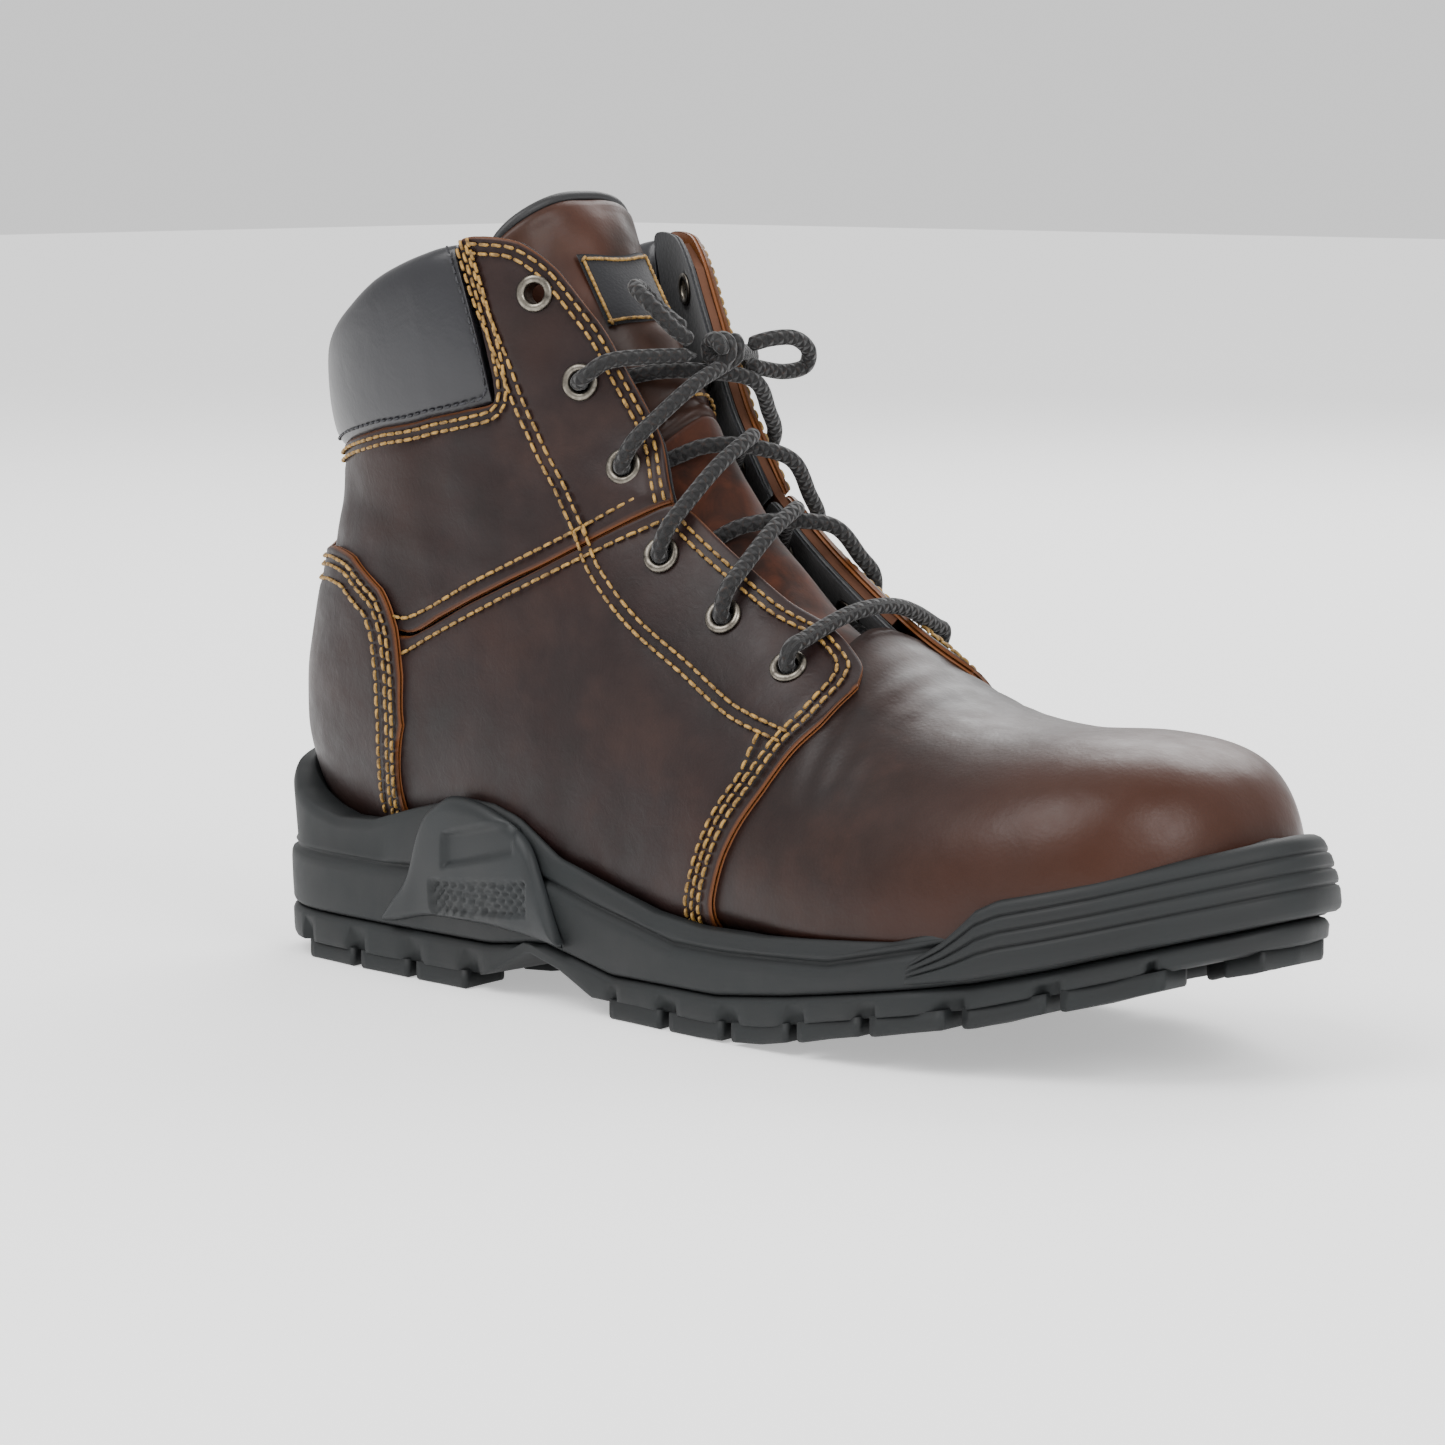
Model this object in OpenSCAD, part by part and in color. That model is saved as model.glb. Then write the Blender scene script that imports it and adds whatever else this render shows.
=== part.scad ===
// Steel toe work boot for the right foot: laced six inch shaft, padded collar, moulded rubber cup sole.
// Frame: +X to the toe, +Z up, lateral side -Y, origin on the ground under the middle of the sole.

/* [Size] */
// length of the sole from heel to toe
sole_length = 310; // [285:1:335]
// width of the sole across the ball of the foot
sole_width = 105; // [98:1:114]
// height of the facings' top edge
shaft_height = 180; // [168:1:194]

/* [Upper] */
// thickness of each leather panel
leather = 1.85; // [1.4:0.05:1.9]
// gap left between two layers
gap = 0.15; // [0.1:0.05:0.3]
// thickness of the lining
lining = 1.6; // [1.2:0.1:1.7]
// how far the padded collar swells outwards
collar_swell = 4.6; // [2:0.2:6]

/* [Toe cap] */
// thickness of the steel toe cap
cap_wall = 2; // [1.6:0.1:2.1]

/* [Eyelets] */
// outer diameter of an eyelet's flange
eyelet_d = 9; // [8:0.2:10]
// clear hole through an eyelet
eyelet_hole = 4.8; // [4.4:0.1:5.2]

/* [Lace] */
// diameter of the round lace
lace_d = 3.8; // [3:0.1:4]

/* [Sole] */
// depth of the tread blocks
tread_depth = 4; // [3:0.5:5]
// thickness of the footbed at the ball
footbed_t = 5; // [4:0.5:6]

/* [Hidden] */
kx = sole_length / 310;
ky = sole_width / 105;
kz = shaft_height / 180;
eps = 0.05;

// Cross sections of the last, from the toe to the top of the shaft: the front edge x, z, the rear
// edge x, z, half widths on the lateral and medial side, roundness in front and behind, widest place.
SECTIONS = [
    [142, 46, 142, 36, 0, 0, 2.4, 2.6, 0.72],
    [139.5, 57, 139.5, 30, 17, 15, 2.4, 2.6, 0.72],
    [133, 66, 133, 27, 29, 26, 2.5, 2.6, 0.72],
    [122, 71.5, 122, 25, 39, 36, 2.6, 2.6, 0.72],
    [105, 73.5, 105, 22, 46.5, 42.5, 2.5, 2.6, 0.74],
    [82, 72.5, 80, 19, 50.5, 45, 2.4, 2.6, 0.76],
    [62, 75.5, 55, 18, 50.6, 45.1, 2.2, 2.6, 0.78],
    [43, 83.6, 30, 18, 47.8, 42.5, 2.1, 2.6, 0.78],
    [24.6, 95.2, 5, 18, 43.8, 39, 2.0, 2.6, 0.78],
    [9, 108.2, -25, 19, 40, 36.2, 1.95, 2.6, 0.75],
    [-4, 121.2, -60, 21, 38, 35.2, 1.95, 2.5, 0.7],
    [-13, 133.2, -100, 24, 36.5, 35, 2.0, 2.4, 0.62],
    [-19, 143.2, -134.6, 33, 35, 34.5, 2.0, 2.3, 0.56],
    [-23, 150.2, -147.6, 50.5, 34.5, 34.5, 2.05, 2.25, 0.53],
    [-26, 156.2, -147.6, 72, 34, 34, 2.1, 2.2, 0.52],
    [-30, 163.2, -141, 95, 34, 34, 2.1, 2.2, 0.5],
    [-34, 170.2, -136, 115, 35, 35, 2.1, 2.2, 0.5],
    [-39, 180.2, -135, 137, 36.5, 36.5, 2.1, 2.2, 0.5],
    [-44, 191.2, -137, 160, 38, 38, 2.1, 2.2, 0.5],
    [-48, 202.2, -138, 173, 39, 39, 2.1, 2.2, 0.5]];
scale_row = [kx, kz, kx, kz, ky, ky, 1, 1, 1];
last = [for (q = SECTIONS) [for (i = [0:8]) q[i] * scale_row[i]]];
top_sec = len(last) - 1;

// Sole outline: x, half width on the lateral side, half width on the medial side.
SOLE = [[-155, 0, 0], [-153, 14, 14], [-147, 25, 25], [-132, 34, 33.5], [-105, 38, 37.5], [-75, 40.5, 39.5],
    [-40, 43, 40.5], [-10, 46.5, 42.5], [20, 50.5, 47], [50, 53.5, 50.5], [75, 54, 52], [100, 50, 50],
    [120, 43, 43.5], [135, 32.5, 33], [145, 22, 23], [152, 12, 12.5], [155, 0, 0]];

// Heights along the sole: ground side, two mould grooves, the edge against the upper, and the footing.
GROUND = [[-155, 3], [-148, 1], [-140, 0], [-62, 0], [-46, 8], [-34, 5], [-22, 0], [20, 0], [40, 1.5],
    [60, 5.5], [80, 9], [98, 12], [115, 16.5], [130, 20.5], [140, 23.5], [155, 27]];
LOW_GROOVE = [[-155, 12], [-60, 12], [-40, 14.5], [-15, 10], [23, 10.5], [47, 13.5], [76, 18], [98, 21.5],
    [115, 25.5], [130, 29.5], [155, 36]];
HIGH_GROOVE = [[-155, 27], [-100, 27], [-40, 30], [-22, 26], [8, 20.6], [26, 20.6], [60, 22.5], [90, 29],
    [113, 31.5], [125, 35], [155, 44]];
RIM = [[-155, 50.5], [-148, 46], [-140, 41.5], [-129, 38.6], [-118, 36.8], [-105, 37.6], [-89, 42],
    [-70, 46.5], [-59, 46], [-50, 43.7], [-35, 35.5], [-15, 30.5], [0, 27], [17, 25.6], [37, 26], [79, 29.4],
    [92, 33], [105, 39.6], [125, 44.4], [141, 49], [155, 53]];
FOOTING = [[-155, 58], [-149, 46], [-143, 38], [-136, 32], [-118, 27], [-100, 24], [-60, 21], [-25, 19],
    [5, 18], [55, 18], [80, 19], [105, 22], [122, 25], [133, 28], [140, 33], [155, 44]];
// Clearance the sole's wall keeps from the last, for the layers of leather between them.
WALL_GAP = [[-155, 5.2], [-98, 5.2], [-88, 3], [14, 3], [30, 0.9], [155, 0.9]];
half_ring = 32;

function height(table, x) = kz * lookup(x / kx, table);

// ---- surface of the last -------------------------------------------------------------------------
function cr(p, q, r, s, t) =
    0.5 * (2 * q + (r - p) * t + (2 * p - 5 * q + 4 * r - s) * t * t + (3 * q - p - 3 * r + s) * t * t * t);
function past_toe(q) = [q[0], q[1], q[2], q[3], -q[4], -q[5], q[6], q[7], q[8]];
function sec(s) =
    let (i = min(max(floor(s), 0), top_sec - 1),
         before = i == 0 ? past_toe(last[1]) : last[i - 1],
         after = i + 2 > top_sec ? 2 * last[top_sec] - last[top_sec - 1] : last[i + 2])
    cr(before, last[i], last[i + 1], after, s - i);
function share(q, sn) =
    sn >= 0 ? q[8] * (1 - pow(sn, 2 / q[6])) : q[8] + (1 - q[8]) * pow(-sn, 2 / q[7]);
// Point of the last at section s and angle a: -90 sole or heel, 0 lateral, 90 ridge, 180 medial.
function base(s, a) =
    let (q = sec(s), f = share(q, sin(a)), n = sin(a) >= 0 ? q[6] : q[7], c = pow(abs(cos(a)), 2 / n))
    [q[0] + (q[2] - q[0]) * f, cos(a) >= 0 ? -q[4] * c : q[5] * c, q[1] + (q[3] - q[1]) * f];
function unit(v) = v / norm(v);
function normal(s, a) =
    unit(cross(base(s, a + 1.5) - base(s, a - 1.5), base(s + 0.06, a) - base(s - 0.06, a)));
function skin(s, a, o) = base(s, a) + o * normal(s, a);

// Section and angle of a point given in side view.
function side_of(q, p) = (q[2] - q[0]) * (p[1] - q[1]) - (q[3] - q[1]) * (p[0] - q[0]);
function find_sec(p, lo, hi, n) =
    let (mid = (lo + hi) / 2)
    n == 0 ? mid : side_of(sec(mid), p) > 0 ? find_sec(p, lo, mid, n - 1) : find_sec(p, mid, hi, n - 1);
function fraction(q, p) =
    let (dx = q[2] - q[0], dz = q[3] - q[1]) ((p[0] - q[0]) * dx + (p[1] - q[1]) * dz) / (dx * dx + dz * dz);
function clamp(v, lo, hi) = min(max(v, lo), hi);
function at(xz) =
    let (p = [xz[0] * kx, xz[1] * kz], s = find_sec(p, 0, top_sec + 0.3, 16), q = sec(s),
         f = clamp(fraction(q, p), 0, 1), m = q[8])
    [s, f < m ? asin(pow((m - f) / m, q[6] / 2)) : -asin(pow((f - m) / (1 - m), q[7] / 2))];

// ---- solids from grids of points -----------------------------------------------------------------
function det(a, b, c) = a * cross(b, c);
function total(v) = v * [for (i = v) 1];
function signed(p, f) = total([for (t = f) det(p[t[0]], p[t[1]], p[t[2]])]);
module solid_of(p, f) {
    out = signed(p, f) > 0 ? [for (t = f) [t[2], t[1], t[0]]] : f;
    polyhedron(points = p, faces = out, convexity = 8);
}
function quad(a, b, c, d) = [[a, b, c], [a, c, d]];
function flat(v) = [for (r = v) each r];
function flip(f, n) = [for (t = f) [t[2] + n, t[1] + n, t[0] + n]];

// A sheet between two offsets of the last. Each grid entry is [section, angle, inner, outer].
module sheet(g, zip = false) {
    ni = len(g);
    nj = len(g[0]);
    n = ni * nj;
    flat_g = flat(g);
    points = concat([for (e = flat_g) skin(e[0], e[1], e[3])], [for (e = flat_g) skin(e[0], e[1], e[2])]);
    faces = concat(
        flat([for (i = [0:ni - 2], j = [0:nj - 2])
            quad(i * nj + j, i * nj + j + 1, (i + 1) * nj + j + 1, (i + 1) * nj + j)]),
        zip ? flat([for (j = [0:(nj - 1) / 2 - 1]) j == (nj - 1) / 2 - 1
            ? [[j + 1, j, nj - 1 - j]]
            : quad(j + 1, j, nj - 1 - j, nj - 2 - j)]) : []);
    front = zip ? [] : [for (j = [nj - 1:-1:1]) j];
    loop = concat([for (i = [0:ni - 2]) i * nj], [for (j = [0:nj - 2]) (ni - 1) * nj + j],
        [for (i = [ni - 1:-1:1]) i * nj + nj - 1], zip ? [nj - 1] : front);
    m = len(loop);
    rims = flat([for (k = [0:m - 1])
        quad(loop[(k + 1) % m], loop[k], loop[k] + n, loop[(k + 1) % m] + n)]);
    solid_of(points, concat(faces, flip(faces, n), [for (t = rims) [t[2], t[1], t[0]]]));
}

// A stack of closed rings with both ends closed straight across from side to side.
function across(m, o) = concat([[o, o + 1, o + m - 1]],
    flat([for (i = [1:m / 2 - 2]) quad(o + i, o + i + 1, o + m - i - 1, o + m - i)]),
    [[o + m / 2 - 1, o + m / 2, o + m / 2 + 1]]);
function walls(k, m) = flat([for (r = [0:k - 2], i = [0:m - 1])
    quad(r * m + i, (r + 1) * m + i, (r + 1) * m + (i + 1) % m, r * m + (i + 1) % m)]);
module stack(rings) {
    m = len(rings[0]);
    k = len(rings);
    end = [for (t = across(m, (k - 1) * m)) [t[2], t[1], t[0]]];
    solid_of(flat(rings), concat(walls(k, m), across(m, 0), end));
}

// A closed section swept along a path, with both ends capped.
module tube(rings) {
    m = len(rings[0]);
    k = len(rings);
    first = [for (i = [1:m - 2]) [0, i, i + 1]];
    end = [for (i = [1:m - 2]) [(k - 1) * m, (k - 1) * m + i + 1, (k - 1) * m + i]];
    solid_of(flat(rings), concat(walls(k, m), first, end));
}
function tangent(p, i) = unit(p[min(i + 1, len(p) - 1)] - p[max(i - 1, 0)]);
function carry(v, t) = unit(v - (v * t) * t);
function frames(p, i, v) =
    let (t = tangent(p, i), u = carry(v, t))
    i == len(p) - 1 ? [[t, u]] : concat([[t, u]], frames(p, i + 1, u));
function rings_on(p, r, sides) =
    let (f = frames(p, 0, abs(tangent(p, 0)[2]) > 0.9 ? [1, 0, 0] : [0, 0, 1]))
    [for (i = [0:len(p) - 1]) let (u = f[i][1], w = cross(f[i][0], u))
        [for (k = [0:sides - 1]) p[i] + r * (cos(360 * k / sides) * u + sin(360 * k / sides) * w)]];
function smooth(p, n) = concat([for (i = [0:len(p) - 2], k = [0:n - 1])
    cr(p[max(i - 1, 0)], p[i], p[i + 1], p[min(i + 2, len(p) - 1)], k / n)], [p[len(p) - 1]]);

// ---- pattern pieces ------------------------------------------------------------------------------
// Each pattern piece runs between two edges given in side view, from the front to the back.
QUARTER_LOW = [[41, 78], [39.8, 72], [36.4, 66.5], [31.8, 57.4], [25, 46.8], [20.3, 35], [17, 22.5], [0, 23],
    [-18, 25.5], [-36, 30], [-54, 38], [-72, 41], [-90, 36.5], [-108, 32.5], [-126, 35], [-154, 44]];
QUARTER_HIGH = [[41, 79.5], [38, 83.2], [32, 87.3], [25, 91.7], [14.7, 97], [0, 106.6], [-12.8, 116.2],
    [-18, 118.2], [-24.3, 115], [-36.8, 108.4], [-51, 101.4], [-70, 93.1], [-90.7, 83.7], [-108, 86],
    [-126, 89], [-155, 91]];
SHAFT_LOW = [[-18.2, 119.4], [-19.5, 118.9], [-22, 117.7], [-26, 115.6], [-31, 112.9], [-35, 110.8],
    [-39, 108.7], [-42, 107.2], [-45, 105.7], [-48.5, 104], [-52, 102.5], [-57, 100.4], [-69.8, 94.7],
    [-80, 90], [-90.5, 85.3], [-108, 87.6], [-126, 90.6], [-155, 92.6]];
SHAFT_HIGH = [[-18.8, 120.5], [-24.8, 133.4], [-32, 145], [-41.8, 161.3], [-50.7, 173], [-59, 179.5],
    [-69, 180.8], [-72.8, 178.8], [-69.6, 168], [-66.8, 158], [-64.6, 148], [-64.8, 141.4], [-73.5, 139.2],
    [-86, 136.6], [-100.6, 134], [-116, 130.6], [-130, 127.5], [-155, 125]];
COLLAR_LOW = [[-65.4, 142.4], [-67.5, 141.8], [-73.5, 140], [-86, 137.4], [-100.6, 134.8], [-116, 131.4],
    [-130, 128.3], [-155, 125.8]];
COLLAR_HIGH = [[-73.8, 178.4], [-75.5, 178.2], [-80, 177.3], [-89, 174.5], [-99, 170.5], [-112, 163],
    [-128, 154.5], [-155, 150]];
COVER_LOW = [[-95.6, 37.5], [-98, 37], [-101, 36.4], [-105, 35.6], [-111, 35], [-120, 35.6], [-131, 38],
    [-154, 45]];
COVER_HIGH = [[-92.2, 62], [-92.6, 74], [-94.6, 85.5], [-100.3, 94.7], [-111.5, 101.5], [-123, 103],
    [-135, 102], [-155, 100.5]];
COUNTER_LOW = [[-98, 38], [-106, 36], [-115, 36], [-127, 38], [-154, 45]];
COUNTER_HIGH = [[-97, 66], [-104, 77], [-114, 82], [-127, 84.5], [-155, 85.5]];
STAY_FRONT = [[-60.5, 178], [-50.7, 172.4], [-41.8, 160.6], [-32.4, 145], [-25.4, 133.4], [-18.6, 119.4],
    [-12.4, 115], [0, 105.6], [13.5, 96.6], [23, 92]];
STAY_REAR = [[-71, 177.6], [-67.4, 165.8], [-62.6, 154], [-59.1, 144.5], [-54, 134], [-46.8, 122.3],
    [-39.5, 112.1], [-33.3, 103.1], [-19.4, 91.1], [6, 78]];
VAMP_REAR = [[9, 23.5], [11, 35], [16, 46.5], [22.5, 57], [27, 66], [30, 75], [31, 84], [29, 92],
    [29.5, 93.4]];
THROAT = [[18, 23.5], [21.3, 35], [26, 46.6], [32.8, 57], [37.4, 66.2], [41.2, 73], [42.3, 79], [40, 84.6],
    [38, 87.6]];

// Angle each side stops short of the back seam, wider for the layers inside.
outer_back = 0.5;
inner_back = 2;
function rows(low, high, n) =
    let (a = [for (p = low) at(p)], b = [for (p = high) at(p)], w = len(a) - 1)
    [for (i = [0:w], k = [0:1]) if (k == 0 || (i < w && len(low) < 12))
        let (u = k == 0 ? a[i] : (a[i] + a[i + 1]) / 2, v = k == 0 ? b[i] : (b[i] + b[i + 1]) / 2)
        [for (j = [0:n]) u + (v - u) * j / n]];
function clear_back(e, stop) = [e[0], max(e[1], -90 + stop)];
function medial(e) = [e[0], 180 - e[1]];
function round_heel(g) = concat(g, [for (i = [len(g) - 2:-1:0]) [for (e = g[i]) [e[0], -180 - e[1]]]]);
function between(g, lo, hi) = [for (r = g) [for (e = r) [e[0], e[1], lo, hi]]];
function one_side(low, high, n, side, stop) =
    [for (r = rows(low, high, n)) [for (e = r) side < 0 ? clear_back(e, stop) : medial(clear_back(e, stop))]];

// Layers, as offsets from the last. The vamp lies on the last and the quarters lap over it.
vamp_in = -leather - gap;
quarter_in = gap;
quarter_out = gap + leather;
cover_in = quarter_out + gap;
cover_out = cover_in + leather;
stay_in = vamp_in + eps;
lining_out = vamp_in - 0.2;
lining_in = lining_out - lining;
cap_out = vamp_in - 0.2;
cap_in = cap_out - cap_wall;
tongue_out = lining_in - lace_d - 0.6;

// Over the toe: from the toe seam back to a rear edge given as [angle, section] pairs.
toe_angles = [for (k = [0:12]) -42 + 132 * k / 12];
toe_seam = 0.14;
function rear_edge(pts) = [for (p = [for (q = pts) at(q)]) [p[1], p[0]]];
function over_toe(edge, from, n, lo, hi) =
    [for (i = [0:n]) let (half = [for (a = toe_angles)
        [from + (lookup(a, edge) - from) * pow(i / n, from < 1 ? 1.35 : 1), a, lo, hi]])
        concat(half, [for (k = [11:-1:0]) [half[k][0], 180 - half[k][1], lo, hi]])];
function even_edge(s) = [[-90, s], [90, s]];
cap_end = 3.85;
strip_end = 4.2;

// ---- eyelets and lace ----------------------------------------------------------------------------
// Eyelet places in side view, from the top down. The top pair is left unlaced.
EYELETS = [[-54.5, 167.4], [-43.5, 146.5], [-31, 126.6], [-16.6, 106.6], [3.5, 93.2], [24.5, 82.8]];
eye_at = [for (p = EYELETS) at(p)];
function eye(k, side) = side < 0 ? eye_at[k] : medial(eye_at[k]);
eye_top = quarter_out + 1.1;
eye_bottom = lining_in - 0.9;
module on_skin(e) {
    n = normal(e[0], e[1]);
    translate(base(e[0], e[1])) rotate([0, acos(n[2]), atan2(n[1], n[0])]) children();
}
module eyelet_holes(side) {
    for (k = [0:5]) {
        on_skin(eye(k, side)) translate([0, 0, -8]) cylinder(r = eyelet_hole / 2 + 0.55, h = 16, $fn = 32);
    }
}

// The lace between two eyelets: [share of the way, offset] pairs over the facing, the tongue and back under.
under = lining_in - lace_d / 2 - 0.25;
over = quarter_out + lace_d / 2 + 0.5;
function hop(k, side, mid) = let (a = eye(k, side), b = eye(k - 1, -side))
    [for (w = [[0.06, over + 1.7], [0.14, over + 0.5], [0.3, over - 0.6], [0.5, mid], [0.7, under + 1.6],
        [0.84, under], [0.94, under]]) skin(a[0] + (b[0] - a[0]) * w[0], a[1] + (b[1] - a[1]) * w[0], w[1])];
function rise(k, side, start) = let (e = eye(k, side))
    [for (o = start ? [under + 2.4, 0, eye_top + 0.6] : [under + 2.4, -1, 1, eye_top + 0.6])
        skin(e[0], e[1], o)];
function reversed(v) = [for (i = [len(v) - 1:-1:0]) v[i]];
// Under the facing from the lowest eyelet up to the next one on the same side.
function inside_run(side) = let (a = eye(5, side), b = eye(4, side))
    [for (t = [0.12, 0.35, 0.65, 0.88]) skin(a[0] + (b[0] - a[0]) * t, a[1] + (b[1] - a[1]) * t, under)];
function bar_half(side) = let (e = eye(5, side))
    [for (w = [[0.92, over + 1.9], [0.8, over + 0.8], [0.5, over - 0.4], [0.25, over - 0.7]])
        skin(e[0], 90 + (e[1] - 90) * w[0], w[1])];
function strand(side, mid) = concat(
    reversed(bar_half(side)), reversed(rise(5, side, true)), inside_run(side), rise(4, side, true),
    hop(4, side, mid), rise(3, -side, false), hop(3, -side, -mid + 0.4), rise(2, side, false),
    hop(2, side, mid), rise(1, -side, false));
knot_at = [-21 * kx, 0, 154 * kz];
function to_knot(side) = let (e = eye(1, side))
    [for (w = [[0.08, over + 1.7], [0.25, over + 0.8]]) skin(e[0], 90 + (e[1] - 90) * (1 - w[0]), w[1])];
knot_r = 5.2;
function knot_end(side) = knot_at + [-2, side * (knot_r + 3.4), -1.5];
EVEN = 1.2;
lace_path = concat([knot_end(1)], reversed(to_knot(1)), reversed(strand(-1, EVEN + 1)),
    [skin(eye_at[5][0], 90, over - 0.8)], strand(1, EVEN - 3.2), to_knot(-1), [knot_end(-1)]);

// Bow loops and ends, drawn as free cord routes from the knot.
LOOP_UP = [[-24, -7, 156], [-26, -12, 160], [-30, -16, 166], [-35, -15, 169], [-37, -10, 168],
    [-35, -6.5, 163.5], [-31, -5.5, 160.5], [-28.6, -4.4, 158.8]];
LOOP_DOWN = [[-20, 8, 155], [-17, 13, 156.5], [-15, 19, 156.5], [-15, 24, 153.5], [-17, 25, 149.5],
    [-19, 20, 148.3], [-20.5, 14, 149.2], [-21, 9.2, 150.4]];
function placed(p) = [for (q = p) [q[0] * kx, q[1] * ky, q[2] * kz]];

// ---- sole ----------------------------------------------------------------------------------------
n_sole = len(SOLE) - 1;
function mirrored(q) = [q[0], -q[1], -q[2]];
function sole_row(u) =
    let (i = min(floor(u), n_sole - 1),
        b = i == 0 ? mirrored(SOLE[1]) : SOLE[i - 1],
        a = i + 2 > n_sole ? mirrored(SOLE[n_sole - 1]) : SOLE[i + 2])
    cr(b, SOLE[i], SOLE[i + 1], a, u - i);
function plan(i) = let (k = i <= half_ring ? i : 2 * half_ring - i, q = sole_row(k * n_sole / half_ring))
    [q[0] * kx, (i <= half_ring ? -q[1] : q[2]) * ky];
plan_ring = [for (i = [0:2 * half_ring - 1]) plan(i)];
m_ring = len(plan_ring);
function inward(i) =
    let (d = plan_ring[(i + 1) % m_ring] - plan_ring[(i + m_ring - 1) % m_ring])
    [-d[1], d[0]] / norm(d);
function inset(i, d) = plan_ring[i] + d * inward(i);
function is_inside(p) =
    let (s = find_sec([p[0], p[2]], 0, top_sec, 14), q = sec(s), f = fraction(q, [p[0], p[2]]),
        m = q[8], n = f < m ? q[6] : q[7], t = f < m ? (m - f) / m : (f - m) / (1 - m))
    s > 0.01 && f > 0 && f < 1 && abs(p[1]) < (p[1] < 0 ? q[4] : q[5]) * pow(max(1 - pow(t, n), 0), 1 / n);
// Distance inwards from the outline to the last at height z.
function reach(i, z, lo, hi, n) = let (mid = (lo + hi) / 2, p = inset(i, mid))
    n == 0 ? mid : is_inside([p[0], p[1], z]) ? reach(i, z, lo, mid, n - 1) : reach(i, z, mid, hi, n - 1);
function foot_edge(i, z) = reach(i, z, -3, 34, 10);
function zone(x, a, b) = clamp((x - a) / (b - a), 0, 1);
bumper_t = 2.2;
function wall_in(i, extra) = extra + (bumper_t + 0.15) * zone(plan_ring[i][0] / kx, 84, 96);
toe_lean = 4.5;
function lean(i) = toe_lean * zone(plan_ring[i][0] / kx, 100, 148);
function lifted(table, i) = height(table, plan_ring[i][0]);
floor_drop = 0.5;
toe_lift = 1.4;
foot_level = [for (i = [0:m_ring - 1]) height(FOOTING, 0.93 * plan_ring[i][0])];
low_edge = [for (i = [0:m_ring - 1]) foot_edge(i, foot_level[i] + 3)];
mid_edge = [for (i = [0:m_ring - 1]) foot_edge(i, (foot_level[i] + 3 + lifted(RIM, i)) / 2)];
rim_edge = [for (i = [0:m_ring - 1]) foot_edge(i, lifted(RIM, i))];
function wall_gap(i) = lookup(plan_ring[i][0] / kx, WALL_GAP);
function thin(d, i, extra) = max(d - wall_gap(i), wall_in(i, extra) + 1.3);
function rim_ring(extra, dz) =
    [for (i = [0:m_ring - 1])
        let (p = inset(i, wall_in(i, extra) + lean(i))) [p[0], p[1], lifted(RIM, i) + dz]];
function rim_inner() = [for (i = [0:m_ring - 1])
    let (p = inset(i, max(thin(rim_edge[i], i, 1.6), wall_in(i, 2.9) + lean(i))))
    [p[0], p[1], lifted(RIM, i)]];
function outer_ring(table, extra, dz) =
    [for (i = [0:m_ring - 1]) let (p = inset(i, wall_in(i, extra))) [p[0], p[1], lifted(table, i) + dz]];
function inner_ring(edge, z) =
    [for (i = [0:m_ring - 1]) let (p = inset(i, thin(edge[i], i, 1.6))) [p[0], p[1], z[i]]];
function board_ring(z, extra) =
    [for (i = [0:m_ring - 1])
        let (p = inset(i, low_edge[i] + extra)) [p[0], p[1], height(FOOTING, p[0]) + z]];
// Top of the plate away from its edge, so that it stays clear of the foot at the sprung toe.
plate_t = 1.2;
function core_ring(dz) = [for (i = [0:m_ring - 1]) let (p = inset(i, wall_in(i, 9)))
    [p[0], p[1], min(lifted(LOW_GROOVE, i), height(GROUND, p[0]) + tread_depth + plate_t) + dz]];
function under_ring(extra) = [for (i = [0:m_ring - 1]) let (p = inset(i, wall_in(i, extra)))
    [p[0], p[1], height(GROUND, p[0]) + tread_depth]];
board_z = 1.3;
board_t = 2.1;
foot_z = board_z + board_t + 0.35;

module midsole() {
    color("#2b2f31") stack([
        core_ring(0.1), outer_ring(LOW_GROOVE, 2.6, 0.1), outer_ring(LOW_GROOVE, 0.6, 1.6),
        outer_ring(HIGH_GROOVE, 0, -4),
        outer_ring(HIGH_GROOVE, 0.5, -1.2), outer_ring(HIGH_GROOVE, 1.9, 0),
        outer_ring(HIGH_GROOVE, 0.7, 1.2),
        rim_ring(1.2, -2.2), rim_ring(1.6, -0.4), rim_inner(),
        inner_ring(mid_edge, [for (i = [0:m_ring - 1]) (foot_level[i] + 3 + lifted(RIM, i)) / 2]),
        inner_ring(low_edge, [for (z = foot_level) z + 3]),
        inner_ring(low_edge, [for (i = [0:m_ring - 1])
            foot_level[i] - floor_drop + toe_lift * zone(plan_ring[i][0] / kx, 95, 112)])]);
}

module outsole() {
    color("#1f2223") stack([
        under_ring(3.4), outer_ring(GROUND, 1.2, tread_depth + 0.4),
        outer_ring(LOW_GROOVE, 0.4, -1.8), outer_ring(LOW_GROOVE, 2.4, 0), core_ring(0)]);
}

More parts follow.
